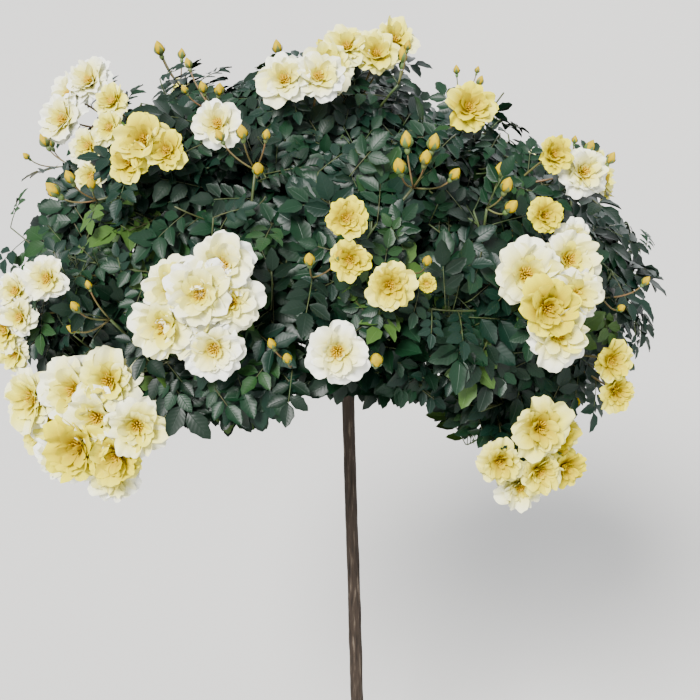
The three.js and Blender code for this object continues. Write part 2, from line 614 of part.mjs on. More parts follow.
// How far across and upwards from the middle of its truss a bloom sits: in a zigzag row, or on a
// sunflower spiral.
function placeInTruss({ blooms, across, upwards }, number, i) {
  if (blooms === 1) return [0, 0];
  if (blooms <= ROW_BLOOMS) {
    const along = (2 * i) / (blooms - 1) - 1;
    const zigzag = blooms > 2 ? (ZIGZAG * (i % 2 ? 1 : -1)) / Math.hypot(across, upwards) : 0;
    return [along * across - zigzag * upwards, along * upwards + zigzag * across];
  }
  const rim = Math.sqrt((i + SPIRAL_START) / blooms);
  const turn = i * GOLDEN_ANGLE + 2 * Math.PI * draw(number, 8);
  return [rim * across * Math.cos(turn), rim * upwards * Math.sin(turn)];
}

// Where the blooms of a truss are and how they look out, over a shallow dome.
function trussBlooms(truss, number) {
  const outward = towards(truss.bearing, truss.pitch);
  const middle = HEART.clone().addScaledVector(outward, truss.reach);
  const face = trussFace(outward);
  const { across, upwards } = facing(face);
  return Array.from({ length: truss.blooms }, (_, i) => {
    const [x, y] = placeInTruss(truss, number, i);
    const aside = across.clone().multiplyScalar(x).addScaledVector(upwards, y);
    const centre = middle.clone().add(aside);
    centre.addScaledVector(face, -aside.lengthSq() / (2 * TRUSS_ROUNDING));
    const direction = face.clone().addScaledVector(aside, 1 / TRUSS_ROUNDING).normalize();
    const variety = BLOOM_SMALLEST + BLOOM_VARIETY * draw(number, i, 9);
    return { centre, direction, radius: truss.radius * variety };
  });
}

// The solids of one truss: its stalk, a pedicel to each bloom, and the blooms.
function trussSolids(truss, number, spray, stem) {
  const outward = towards(truss.bearing, truss.pitch);
  const node = HEART.clone().addScaledVector(outward, truss.reach - PEDICEL_DEPTH);
  const foot = pointOn(stem, STEM_STEPS, STALK_SHARE);
  const bend = foot.clone().lerp(node, 0.5).addScaledVector(UP, STALK_ARCH);
  const line = new THREE.QuadraticBezierCurve3(foot, bend, node);
  const stalk = ifItFits(twig(line, STALK_RADIUS, STALK_RADIUS, 2), spray);
  if (!stalk) return [];
  const solids = [stalk];
  trussBlooms(truss, number).forEach(({ centre, direction, radius }) => {
    const pedicel = ifItFits(spike(node, centre, PEDICEL_RADIUS), spray);
    const cup = ifItFits(bloom(centre, direction, radius), spray);
    if (pedicel && cup) solids.push(pedicel, cup);
  });
  return solids;
}

// One spray, fused: its stem, its shoots, the trusses in its space, and the leaves between them.
function spraySolid(spray) {
  const stem = sprayStem(spray);
  const boughTip = boughs.get(spray.name).tip;
  const base = Math.min(boughTip, SPRAY_STEM_RADIUS);
  const wood = [solidOf(limb(stem, base, SPRAY_STEM_TIP, 3, STEM_STEPS))];
  const shoots = [];
  shootCurves(spray, stem).forEach((curve) => {
    const solid = shootWithEnd(curve, spray, shoots.length);
    if (solid) shoots.push({ curve, solid });
  });
  TRUSSES.forEach((truss, number) => {
    const outward = towards(truss.bearing, truss.pitch);
    const neck = HEART.clone().addScaledVector(outward, truss.reach - 0.5 * PEDICEL_DEPTH);
    if (ownerOf(neck) === spray) wood.push(...trussSolids(truss, number, spray, stem));
  });
  const leaves = [];
  shoots.forEach(({ curve, solid }, number) => {
    const others = shoots.filter((shoot) => shoot.solid !== solid).map((shoot) => shoot.solid);
    leaves.push(...leavesOn(curve, spray, number, [...wood, ...others, ...leaves]));
  });
  return mainBody(wasm.Manifold.union([...wood, ...shoots.map((shoot) => shoot.solid), ...leaves]));
}

// The finished plant
const bark = new THREE.MeshStandardMaterial({ color: 0x5a4a3a, roughness: 0.85, metalness: 0 });
const caneGreen = new THREE.MeshStandardMaterial({ color: 0x55683a, roughness: 0.6, metalness: 0 });
const foliage = new THREE.MeshStandardMaterial({ color: 0x1f4a33, roughness: 0.45, metalness: 0 });

const rose = new THREE.Group();

function addPiece(name, solid, material) {
  const mesh = new THREE.Mesh(geometryOf(solid), material);
  mesh.name = name;
  rose.add(mesh);
}

addPiece("stem", solidOf(stemGeometry()), bark);
boughs.forEach((bough, name) => {
  addPiece(`bough_${name}`, boughSolid(bough, sprayNamed.get(name)), caneGreen);
});
sprayNamed.forEach((spray, name) => addPiece(`spray_${name}`, spraySolid(spray), foliage));

export default rose;
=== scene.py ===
"""A standard rose in full bloom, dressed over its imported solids.

The stem and the canes are skins with relief. The sprays grow on from the canes by the rule of the
solids, carried to finer twigs, compound leaves, blooms and buds. Metres, +Z up, the front at -Y.
"""

import logging
from dataclasses import dataclass, field
from enum import Enum
from math import comb
from typing import Any

import bpy
import numpy as np
from mathutils import Matrix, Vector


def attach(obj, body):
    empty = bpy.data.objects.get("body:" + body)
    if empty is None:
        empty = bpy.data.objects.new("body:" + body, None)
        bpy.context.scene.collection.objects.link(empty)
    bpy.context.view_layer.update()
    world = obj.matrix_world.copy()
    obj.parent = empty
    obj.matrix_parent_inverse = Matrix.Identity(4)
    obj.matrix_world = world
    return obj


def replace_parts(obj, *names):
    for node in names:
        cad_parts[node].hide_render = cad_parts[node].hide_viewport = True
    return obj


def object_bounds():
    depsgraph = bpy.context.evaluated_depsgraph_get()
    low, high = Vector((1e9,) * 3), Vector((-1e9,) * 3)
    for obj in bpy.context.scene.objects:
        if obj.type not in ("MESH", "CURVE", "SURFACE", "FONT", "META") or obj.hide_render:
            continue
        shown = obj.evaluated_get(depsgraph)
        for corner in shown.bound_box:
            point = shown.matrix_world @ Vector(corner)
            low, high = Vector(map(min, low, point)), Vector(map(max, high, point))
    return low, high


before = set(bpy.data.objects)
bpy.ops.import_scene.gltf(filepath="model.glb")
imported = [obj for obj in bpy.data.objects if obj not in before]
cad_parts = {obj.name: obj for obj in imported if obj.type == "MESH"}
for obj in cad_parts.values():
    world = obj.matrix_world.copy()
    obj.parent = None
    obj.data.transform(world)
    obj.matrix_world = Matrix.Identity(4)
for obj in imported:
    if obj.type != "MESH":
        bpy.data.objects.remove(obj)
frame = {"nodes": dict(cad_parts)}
CAD_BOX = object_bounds()

Array = np.ndarray
LOG = logging.getLogger("rose")
MM = 0.001
TURN = 2 * np.pi
SHORT_TURN = 6.28  # the rounded turn that some draws are stretched to
GOLDEN_ANGLE = np.pi * (3 - np.sqrt(5))
UP = np.array([0.0, 0.0, 1.0])
OPEN_SIDE = np.array([0.0, -1.0, 0.35]) / np.sqrt(1.1225)
EDGES = np.array([-1.0, 0.0, 1.0])  # left edge, midrib and right edge of a narrow sheet
ROOT = "root"
BAKE_MAP = "OFBake"


# Numbers and directions


def draw(*keys: float | Array) -> Array:
    """A repeatable number from 0 to 1: the fraction of a large multiple of the keys' sine.

    Args:
        keys: numbers or arrays that name the draw, each weighted by its place.

    Returns:
        The numbers, in the keys' common shape.
    """
    total = sum(
        np.asarray(key, float) * (12.9898 + 65.3247 * place) for place, key in enumerate(keys)
    )
    scaled = np.sin(0.5 + total) * 43758.5453
    return scaled - np.floor(scaled)


def shaken(reach: float, *keys: float | Array) -> Array:
    """A repeatable number from minus half a reach to plus half of it."""
    return reach * (draw(*keys) - 0.5)


def dealt(span: tuple[float, float], *keys: float | Array) -> Array:
    """A repeatable number from the span's first up by at most its second."""
    return span[0] + span[1] * draw(*keys)


def spaced(run: tuple[float, float], parts: Array, count: int) -> Array:
    """Even shares of a curve, from the run's first up by at most its second."""
    return run[0] + run[1] * parts / count


def waved(start: Array | float, waves: tuple, side: Array, phase: Array) -> Array:
    """A start plus sines of a side: of each wave the height, the pitch and the phase's share."""
    return sum((tall * np.sin(pitch * side + part * phase) for tall, pitch, part in waves), start)


def bell(away: Array) -> Array:
    """A smooth bump: 1 at 0, and e to the minus square elsewhere."""
    return np.exp(-(away**2))


def unit(vectors: Array) -> Array:
    """Each vector divided by its length."""
    return vectors / np.maximum(np.linalg.norm(vectors, axis=-1, keepdims=True), 1e-12)


def dot(a: Array, b: Array) -> Array:
    """The product of each pair of vectors, kept as a last axis of one."""
    return np.sum(a * b, axis=-1, keepdims=True)


def swung(first: Array, second: Array, turn: Array) -> Array:
    """The direction at an angle from the first of two square ones towards the second."""
    return first * np.cos(turn) + second * np.sin(turn)


def towards(bearing: float, pitch: float) -> Array:
    """A unit vector from a bearing round the crown and a pitch above the level, in degrees."""
    turn, rise = np.radians(bearing), np.radians(pitch)
    return np.array([np.sin(turn) * np.cos(rise), -np.cos(turn) * np.cos(rise), np.sin(rise)])


def facing(directions: Array) -> tuple[Array, Array]:
    """Two unit vectors square to each direction: one level, and one that points up.

    Args:
        directions: unit vectors.

    Returns:
        UP crossed with the direction, and the direction crossed with that.
    """
    across = np.cross(UP, directions)
    steep = np.linalg.norm(across, axis=-1, keepdims=True) < 0.05
    across = unit(np.where(steep, np.array([1.0, 0.0, 0.0]), across))
    return across, unit(np.cross(directions, across))


def wheel(angle: float, first: int, second: int) -> Array:
    """The matrix that turns rows from one axis towards another.

    Args:
        angle: the angle in radians.
        first: number of the axis that is turned.
        second: number of the axis that it turns to.

    Returns:
        The matrix, for use on the right of the rows.
    """
    made = np.eye(3)
    made[first, [first, second]] = np.cos(angle), np.sin(angle)
    made[second, [first, second]] = -np.sin(angle), np.cos(angle)
    return made


def paired(count: int, each: int) -> tuple[Array, Array]:
    """For each part of each thing, the number of the thing and the number of the part."""
    return np.repeat(np.arange(count), each), np.tile(np.arange(each), count)


def spot(*millimetres: float) -> Any:
    """A dataclass field that holds a place or a size given in millimetres."""
    return field(default_factory=lambda: np.array(millimetres) * MM)


@dataclass
class Curves:
    """A batch of cubic curves, held as an array of curve, control point and coordinate."""

    knots: Array

    @classmethod
    def arcs(cls, foot: Array, bend: Array, tip: Array) -> "Curves":
        """Arcs with one bend, as cubics whose handles go two thirds of the way to the bend."""
        handles = foot + (bend - foot) * 2 / 3, tip + (bend - tip) * 2 / 3
        return cls(np.stack([foot, *handles, tip], axis=1))

    @staticmethod
    def _blend(knots: Array, shares: Array) -> Array:
        """Control points weighed by the binomial weights of each share.

        Args:
            knots: control points of every curve.
            shares: shares of the curve, one row for all or one row a curve.

        Returns:
            An array of curve, place and coordinate.
        """
        t = np.broadcast_to(shares, (len(knots), np.shape(shares)[-1]))[..., None]
        top = knots.shape[1] - 1
        return sum(
            comb(top, k) * (1 - t) ** (top - k) * t**k * knots[:, None, k] for k in range(top + 1)
        )

    def points(self, shares: Array) -> Array:
        """Points at shares of every curve."""
        return self._blend(self.knots, shares)

    def tangents(self, shares: Array) -> Array:
        """Unit directions at shares of every curve, from the steps between control points."""
        return unit(self._blend(np.diff(self.knots, axis=1), shares))

    def at(self, which: Array, share: Array) -> tuple[Array, Array]:
        """The point and the direction of some of the curves, each at its own share."""
        chosen = Curves(self.knots[which])
        return chosen.points(share[:, None])[:, 0], chosen.tangents(share[:, None])[:, 0]

    def rings(self, radii: Array, sides: int) -> Array:
        """Rings square to every curve, kept from twisting by one vector across the curve's plane.

        Args:
            radii: radius of every ring, as curve and ring, or as curve, ring and side.
            sides: corners of a ring.

        Returns:
            An array of curve, ring, corner and coordinate.
        """
        shares = np.linspace(0, 1, radii.shape[1])
        centres, along = self.points(shares), self.tangents(shares)
        chord = self.knots[:, 3] - self.knots[:, 0]
        normal = np.cross(chord, self.knots[:, 1] - self.knots[:, 0])
        straight = np.linalg.norm(normal, axis=-1, keepdims=True) < 1e-3 * dot(chord, chord)
        across = np.where(straight, facing(unit(chord))[0], unit(normal))[:, None]
        side = unit(across - along * dot(across, along))
        turn = (np.arange(sides) * TURN / sides)[:, None]
        ring = swung(side[:, :, None], np.cross(along, side)[:, :, None], turn)
        spread = radii[..., None] if radii.ndim == 2 else radii
        return centres[:, :, None] + ring * spread[..., None]

    def tubes(self, base: Array | float, tip: Array | float, rings: int, sides: int) -> Array:
        """Rings along every curve whose radii run evenly from foot to tip."""
        ends = (np.broadcast_to(radius, len(self.knots)) for radius in (base, tip))
        return self.rings(np.linspace(*ends, rings, axis=1), sides)


# Meshes


class Pile:
    """Sheets and tubes gathered as arrays, each with its own island of the piece's map."""

    END_ROOM = 0.08  # share of a tube's island that each end's fan takes
    MARGIN = 0.06  # bare share of an island's square at each side

    def __init__(self) -> None:
        """Starts with nothing on it."""
        self.points: list[Array] = []
        self.parts: list[tuple[Array, ...]] = []
        self.values: dict[str, list[Array]] = {}
        self.count = 0
        self.islands = 0

    def _keep(
        self, points: Array, values: dict, faces: Array, corners: Array, slots: Array | int
    ) -> None:
        """Keeps the points and faces of a batch, one island a sheet.

        Args:
            points: points with the sheet as first axis.
            values: further numbers of the points.
            faces: numbers of the points, as sheet, face and corner.
            corners: places in the island, as face, corner and coordinate.
            slots: the finish of each sheet.
        """
        sheets, each, size = faces.shape
        self.points.append(points.reshape(-1, 3))
        for name, numbers in values.items():
            self.values.setdefault(name, []).append(numbers.reshape(-1))
        island = np.repeat(self.islands + np.arange(sheets), each * size)
        places = np.broadcast_to(corners, (sheets, each, size, 2)).reshape(-1, 2)
        finish = np.repeat(np.broadcast_to(slots, sheets), each)
        self.parts.append((faces.reshape(-1, size), places, island, finish))
        self.count += len(self.points[-1])

    def sheets(
        self,
        grid: Array,
        slots: Array | int = 0,
        closed: bool = False,
        ends: bool = False,
        values: dict[str, Array] | None = None,
    ) -> None:
        """Adds a batch of grids; a face joins two neighbours of a row to the two of the next row.

        Args:
            grid: points as sheet, row, column and coordinate.
            slots: the finish of each sheet.
            closed: whether the last column meets the first, as on a tube.
            ends: whether a fan about the middle of each end ring closes a tube.
            values: further numbers for each point, as sheet, row and column.
        """
        count, rows, columns, _ = grid.shape
        spread = {key: np.broadcast_to(v, grid.shape[:3]) for key, v in (values or {}).items()}
        spans = columns if closed else columns - 1
        square = np.array([[0, 0, 1, 1], [0, 1, 1, 0]])[:, None, None]
        row, column = np.mgrid[: rows - 1, :spans][..., None] + square
        inset = self.END_ROOM if ends else 0.0
        high = inset + (1 - 2 * inset) * row / (rows - 1)
        corners = np.stack([column / spans, high], axis=-1).reshape(-1, 4, 2)
        first = self.count + np.arange(count)[:, None, None] * rows * columns
        faces = first + (row * columns + column % columns).reshape(-1, 4)
        self._keep(grid, spread, faces, corners, slots)
        fans = ((0, (1, 0, 0.5), inset, 0.0), (rows - 1, (0, 1, 0.5), 1 - inset, 1.0))
        for end, order, rim, hub in fans if ends else ():
            around = np.arange(columns)[:, None] + np.array(order)
            faces = first + end * columns + (around % columns).astype(int)
            faces[..., 2] = self.count + np.arange(count)[:, None]
            corners = np.broadcast_arrays(around / columns, np.array([rim, rim, hub]))
            middles = {key: numbers[:, end].mean(axis=1) for key, numbers in spread.items()}
            middle = grid[:, end].mean(axis=1)
            self._keep(middle, middles, faces, np.stack(corners, axis=-1), slots)
        self.islands += count

    def make(self, name: str, finishes: list[bpy.types.Material], slot: str) -> bpy.types.Object:
        """The joined mesh as an object at the origin, with its map of square islands.

        Args:
            name: name of the piece.
            finishes: its materials, in the order of the slots.
            slot: not used.

        Returns:
            The object, linked to the scene.
        """
        faces, places, islands, slots = zip(*self.parts)
        sizes = np.concatenate([np.full(len(part), part.shape[1]) for part in faces])
        points, corners = np.concatenate(self.points), np.concatenate([f.ravel() for f in faces])
        mesh = bpy.data.meshes.new(name)
        mesh.vertices.add(len(points))
        mesh.loops.add(len(corners))
        mesh.polygons.add(len(sizes))
        mesh.vertices.foreach_set("co", points.astype(np.float32).ravel())
        mesh.loops.foreach_set("vertex_index", corners.astype(np.int32))
        starts = np.cumsum(sizes) - sizes
        mesh.polygons.foreach_set("loop_start", starts.astype(np.int32))
        mesh.polygons.foreach_set("material_index", np.concatenate(slots).astype(np.int32))
        mesh.polygons.foreach_set("use_smooth", np.ones(len(sizes), bool))
        mesh.update(calc_edges=True)
        across = int(np.ceil(np.sqrt(self.islands)))
        island = np.concatenate(islands)
        cell = np.stack([island % across, island // across], axis=-1)
        spread = (cell + self.MARGIN + (1 - 2 * self.MARGIN) * np.concatenate(places)) / across
        layer = mesh.uv_layers.new(name=BAKE_MAP)
        layer.data.foreach_set("uv", spread.astype(np.float32).ravel())
        for key, numbers in self.values.items():
            attribute = mesh.attributes.new(key, "FLOAT", "POINT")
            attribute.data.foreach_set("value", np.concatenate(numbers).astype(np.float32))
        for finish in finishes:
            mesh.materials.append(finish)
        mesh.validate()
        piece = bpy.data.objects.new(name, mesh)
        bpy.context.scene.collection.objects.link(piece)
        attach(piece, ROOT)
        LOG.info("%s: %d triangles", name, int(np.sum(sizes - 2)))
        return piece


# Finishes


class Wire:
    """A socket that takes part in arithmetic: each operator adds a Math node."""

    def __init__(self, paint: "Paint", socket: bpy.types.NodeSocket) -> None:
        """Keeps the socket and the finish that it belongs to."""
        self.paint, self.socket = paint, socket

    def _math(self, operation: str, first: Any, second: Any = 0.0) -> "Wire":
        """One Math node on two numbers or wires."""
        return self.paint.node("ShaderNodeMath", {"operation": operation}, {0: first, 1: second})

    def __add__(self, other: Any) -> "Wire":
        """The sum."""
        return self._math("ADD", self, other)

    def __mul__(self, other: Any) -> "Wire":
        """The product."""
        return self._math("MULTIPLY", self, other)

    def __sub__(self, other: Any) -> "Wire":
        """The difference."""
        return self._math("SUBTRACT", self, other)

    def __rsub__(self, other: Any) -> "Wire":
        """The difference, with this wire taken away."""
        return self._math("SUBTRACT", other, self)

    def __abs__(self) -> "Wire":
        """The size without its sign."""
        return self._math("ABSOLUTE", self)

    def sine(self) -> "Wire":
        """The sine."""
        return self._math("SINE", self)

    __radd__ = __add__
    __rmul__ = __mul__


class Paint:
    """The node tree of one finish, with its own surface shader."""

    def __init__(self, name: str, **plain: Any) -> None:
        """Makes the material and sets what is the same all over on the shader's own sockets.

        Args:
            name: name of the material.
            plain: values of the shader's sockets, with _ for the spaces in their names.
        """
        self.material = bpy.data.materials.new(name)
        self.material.use_nodes = True
        self.tree = self.material.node_tree
        self.shader = next(n for n in self.tree.nodes if n.type == "BSDF_PRINCIPLED")
        for socket, value in plain.items():
            self.shader.inputs[socket.replace("_", " ")].default_value = value

    def node(self, kind: str, settings: dict, inputs: dict, output: Any = 0) -> Wire:
        """Adds a node: its settings first, then the values or wires of its sockets.

        Args:
            kind: the node's type.
            settings: its properties; "stops" are a ramp's places and colours.
            inputs: values or wires by socket name or number.
            output: the socket that is handed on.

        Returns:
            The wire of that output.
        """
        made = self.tree.nodes.new(kind)
        for key, value in settings.items():
            if key == "stops":
                stops = made.color_ramp.elements
                while len(stops) < len(value):
                    stops.new(1.0)
                for stop, (place, colour) in zip(stops, value):
                    stop.position, stop.color = place, (*colour, 1.0)
            else:
                setattr(made, key, value)
        for key, value in inputs.items():
            if isinstance(value, Wire):
                self.tree.links.new(value.socket, made.inputs[key])
            else:
                made.inputs[key].default_value = value
        return Wire(self, made.outputs[output])

    def place(self) -> Wire:
        """Where a point is on the object, in metres."""
        return self.node("ShaderNodeTexCoord", {}, {}, "Object")

    def across(self) -> Wire:
        """Where a point is on the piece's own map."""
        return self.node("ShaderNodeUVMap", {"uv_map": BAKE_MAP}, {})

    def number(self, name: str) -> Wire:
        """A number that the piece carries at each point."""
        return self.node("ShaderNodeAttribute", {"attribute_name": name}, {}, "Fac")

    def noise(self, where: Wire, scale: float, detail: float = 3.0) -> Wire:
        """Cloudy noise from 0 to 1."""
        inputs = {"Vector": where, "Scale": scale, "Detail": detail}
        return self.node("ShaderNodeTexNoise", {}, inputs)

    def streaks(self, where: Wire, scale: tuple, detail: float) -> Wire:
        """Cloudy noise stretched by each axis's own scale."""
        stretched = self.node("ShaderNodeMapping", {}, {"Vector": where, "Scale": scale})
        return self.noise(stretched, 1.0, detail)

    def mapped(
        self, amount: Wire, span: tuple, ends: tuple = (0.0, 1.0), kind: str = "LINEAR"
    ) -> Wire:
        """An amount carried from one span of numbers to another."""
        inputs = dict(enumerate((amount, *span, *ends)))
        return self.node("ShaderNodeMapRange", {"interpolation_type": kind}, inputs)

    def ramp(self, amount: Wire, stops: tuple) -> Wire:
        """A colour from an amount by places and colours."""
        return self.node("ShaderNodeValToRGB", {"stops": stops}, {"Fac": amount})

    def mixed(self, amount: Any, first: Any, second: Any) -> Wire:
        """One colour blended into another.

        Args:
            amount: a number or wire, 0 for the first and 1 for the second.
            first: three numbers or a wire.
            second: three numbers or a wire.

        Returns:
            The wire of the blend.
        """
        ends = [value if isinstance(value, Wire) else (*value, 1.0) for value in (first, second)]
        inputs = {0: amount, 6: ends[0], 7: ends[1]}
        return self.node("ShaderNodeMix", {"data_type": "RGBA"}, inputs, 2)

    def dressed(
        self,
        colour: Wire,
        cloud: Wire,
        rough: tuple,
        height: Wire | None = None,
        relief: tuple = (),
    ) -> bpy.types.Material:
        """Feeds the shader and hands the finished material on.

        Args:
            colour: its colour.
            cloud: the noise that makes its gloss uneven.
            rough: its least roughness, and what the noise adds.
            height: the height by which its surface rises, from 0 to 1.
            relief: strength of the relief, and its metres at full height.

        Returns:
            The material.
        """
        wires = {"Base Color": colour, "Roughness": cloud * rough[1] + rough[0]}
        if height is not None:
            inputs = {"Strength": relief[0], "Distance": relief[1], "Height": height}
            wires["Normal"] = self.node("ShaderNodeBump", {}, inputs)
        for socket, wire in wires.items():
            self.tree.links.new(wire.socket, self.shader.inputs[socket])
        return self.material


class Green(Enum):
    """The plain greens that leaves are dealt."""

    DEEP = (0.002, 0.012, 0.005)
    BLUE = (0.003, 0.018, 0.010)
    MIDDLE = (0.004, 0.024, 0.009)
    FRESH = (0.012, 0.044, 0.010)
    YOUNG = (0.046, 0.100, 0.018)


@dataclass(frozen=True)
class LeafFinish:
    """A glossy leaf of one green, with a paler midrib and raised side veins."""

    green: Green
    pale: tuple = (2.1, 0.02)  # the midrib's gain on the green, and what is added to that
    dark: float = 0.62
    rough: tuple = (0.32, 0.22)  # least, and what the noise adds
    rib_width: float = 0.07
    rib_gain: float = 0.22
    veins: float = 46.0
    vein_slant: float = 9.0
    cloud_scale: float = 38.0
    relief: tuple = (0.40, 0.6 * MM)  # strength, and metres at full height

    def make(self) -> bpy.types.Material:
        """Mixes the midrib by distance from the middle of the leaf, and the veins by waves.

        Returns:
            The material.
        """
        colour, (gain, more) = self.green.value, self.pale
        pale = tuple(min(1.0, gain * part + more) for part in colour)
        dark = tuple(self.dark * part for part in colour)
        paint = Paint(f"leaf_{self.green.name.lower()}", Specular_IOR_Level=0.24)
        aside, along = abs(paint.number("leaf_side")), paint.number("leaf_along")
        rib = paint.mapped(aside, (0.0, self.rib_width), (1.0, 0.0), "SMOOTHSTEP")
        cloud = paint.noise(paint.place(), self.cloud_scale)
        shade = paint.mixed(cloud * 0.5, colour, dark)
        veins = (along * self.veins - aside * self.vein_slant).sine()
        height = veins * 0.10 - rib * 0.9 + cloud * 0.6
        colour = paint.mixed(rib * self.rib_gain, shade, pale)
        return paint.dressed(colour, cloud, self.rough, height, self.relief)


@dataclass(frozen=True)
class PetalFinish:
    """A soft petal: golden at its foot, yellow when fresh, and cream to white as it ages. The
    darker gold at the foot is partly painted shade of the bloom's heart.
    """

    # Each run starts at the petal's foot in a darker gold: partly the real golden heart, partly
    # painted shade where the petals crowd at the bloom's heart.
    fresh: tuple = (
        (0.0, (0.35, 0.22, 0.0)),
        (0.42, (0.48, 0.35, 0.0)),
        (0.66, (0.62, 0.51, 0.0)),
        (1.0, (0.76, 0.69, 0.022)),
    )
    cream: tuple = (
        (0.0, (0.44, 0.30, 0.0)),
        (0.36, (0.64, 0.53, 0.0)),
        (0.60, (0.80, 0.75, 0.085)),
        (1.0, (0.84, 0.82, 0.380)),
    )
    white: tuple = (
        (0.0, (0.50, 0.36, 0.0)),
        (0.28, (0.73, 0.66, 0.050)),
        (0.48, (0.84, 0.82, 0.460)),
        (0.80, (0.86, 0.87, 0.800)),
    )
    turns_cream: tuple = (0.05, 0.5)
    turns_white: tuple = (0.5, 0.95)
    grain_scale: float = 420.0
    vein_scale: tuple = (900.0, 60.0, 1.0)
    rough: tuple = (0.48, 0.2)
    relief: tuple = (0.35, 0.5 * MM)

    def make(self) -> bpy.types.Material:
        """Blends three runs of colour along the petal by the petal's age.

        Returns:
            The material.
        """
        paint = Paint("petal", Specular_IOR_Level=0.12)
        share, age = paint.number("petal_share"), paint.number("petal_age")
        colour = paint.ramp(share, self.fresh)
        for span, run in ((self.turns_cream, self.cream), (self.turns_white, self.white)):
            colour = paint.mixed(paint.mapped(age, span), colour, paint.ramp(share, run))
        grain = paint.noise(paint.place(), self.grain_scale, 2.0)
        veins = paint.streaks(paint.across(), self.vein_scale, 1.0)
        height = grain * 0.4 + veins * 0.6
        return paint.dressed(colour, grain, self.rough, height, self.relief)


@dataclass(frozen=True)
class StalkFinish:
    """A green shoot that runs to red-brown in patches and long streaks."""

    name: str
    green: tuple = (0.042, 0.080, 0.022)
    red: tuple = (0.080, 0.040, 0.021)
    blend: float = 0.55
    patch_scale: float = 26.0
    patch_edge: tuple = (0.35, 0.65)
    streak_scale: tuple = (900.0, 900.0, 60.0)
    rough: tuple = (0.38, 0.25)
    relief: tuple = (0.4, 0.4 * MM)

    def make(self) -> bpy.types.Material:
        """Lays long streaks and cloudy patches of red-brown over green.

        Returns:
            The material.
        """
        paint = Paint(self.name, Specular_IOR_Level=0.4)
        patch = paint.noise(paint.place(), self.patch_scale)
        streak = paint.streaks(paint.place(), self.streak_scale, 2.0)
        amount = paint.mapped(patch * 0.7 + streak * 0.3, self.patch_edge)
        colour = paint.mixed(amount * self.blend, self.green, self.red)
        return paint.dressed(colour, streak, self.rough, streak, self.relief)


@dataclass(frozen=True)
class BarkFinish:
    """Old brown-black bark with pale ridges and dark cracks."""

    stops: tuple = (
        (0.34, (0.009, 0.006, 0.004)),
        (0.47, (0.028, 0.019, 0.013)),
        (0.56, (0.028, 0.019, 0.013)),
        (0.70, (0.125, 0.098, 0.072)),
    )
    ridge_scale: tuple = (260.0, 260.0, 26.0)
    grain_scale: float = 900.0
    rough: tuple = (0.72, 0.2)
    relief: tuple = (0.8, 1.6 * MM)

    def make(self) -> bpy.types.Material:
        """Raises ridges by lengthwise noise, colours them by height, and lays grain over them.

        Returns:
            The material.
        """
        paint = Paint("bark", Specular_IOR_Level=0.25)
        ridge = paint.streaks(paint.place(), self.ridge_scale, 5.0)
        grain = paint.noise(paint.place(), self.grain_scale)
        colour = paint.ramp(ridge * 0.85 + grain * 0.15, self.stops)
        height = ridge + grain * 0.25
        return paint.dressed(colour, grain, self.rough, height, self.relief)


@dataclass(frozen=True)
class StamenFinish:
    """Golden filaments and anthers that turn brown."""

    gold: tuple = (0.70, 0.46, 0.0)
    brown: tuple = (0.36, 0.20, 0.0)
    cloud_scale: float = 300.0
    rough: tuple = (0.55, 0.2)

    def make(self) -> bpy.types.Material:
        """Clouds gold with brown.

        Returns:
            The material.
        """
        paint = Paint("stamen", Specular_IOR_Level=0.3)
        cloud = paint.noise(paint.place(), self.cloud_scale)
        return paint.dressed(paint.mixed(cloud, self.gold, self.brown), cloud, self.rough)


# The rule of growth, the same as in the solids


@dataclass
class Spray:
    """One spray: bearing, pitch, reach of its face, half size, its carrier and where on it."""

    name: str
    bearing: float
    pitch: float
    reach: float
    size: float
    carrier: str = "union"
    at: float = 0.0


SPRAYS = (
    Spray("top", 24, 68, 286, 134),
    Spray("top_left", -24, 48, 304, 120, "top", 0.62),
    Spray("top_right", 52, 40, 322, 112, "top", 0.5),
    Spray("top_back", 176, 50, 300, 122, "top", 0.36),
    Spray("front", 4, 17, 366, 112, "front_left", 0.55),
    Spray("front_low", 10, -2, 346, 96, "front_right", 0.42),
    Spray("front_left", -19, 11, 378, 118),
    Spray("front_right", 35, 10, 384, 122),
    Spray("left_upper", -48, 33, 350, 112, "left", 0.55),
    Spray("left_high", -94, 32, 366, 116, "back_left", 0.5),
    Spray("left", -66, 3, 408, 122),
    Spray("left_low", -39, -13, 396, 132, "left", 0.4),
    Spray("right_upper", 62, 27, 366, 116, "right", 0.52),
    Spray("right", 82, 2, 404, 122),
    Spray("right_low", 46, -16, 386, 112, "right", 0.36),
    Spray("back_left", -116, 4, 404, 126),
    Spray("back_right", 124, 6, 398, 126),
    Spray("back", 178, 8, 384, 128),
    Spray("back_low_left", -150, -10, 374, 112, "back", 0.42),
    Spray("back_low_right", 152, -11, 374, 112, "back_right", 0.45),
    Spray("back_high_left", -142, 33, 350, 116, "back_left", 0.62),
    Spray("back_high_right", 118, 36, 346, 116, "back_right", 0.6),
)
SPRAY_NODES = tuple(f"spray_{spray.name}" for spray in SPRAYS)


@dataclass
class Truss:
    """A truss of open blooms; age runs from 0, fresh yellow, to 1, faded white.

    The golden ones, by number, opened last.
    """

    bearing: float
    pitch: float
    reach: float
    blooms: int
    across: float
    upwards: float
    radius: float
    age: float
    spread: float = 0.3
    golden: tuple = ()


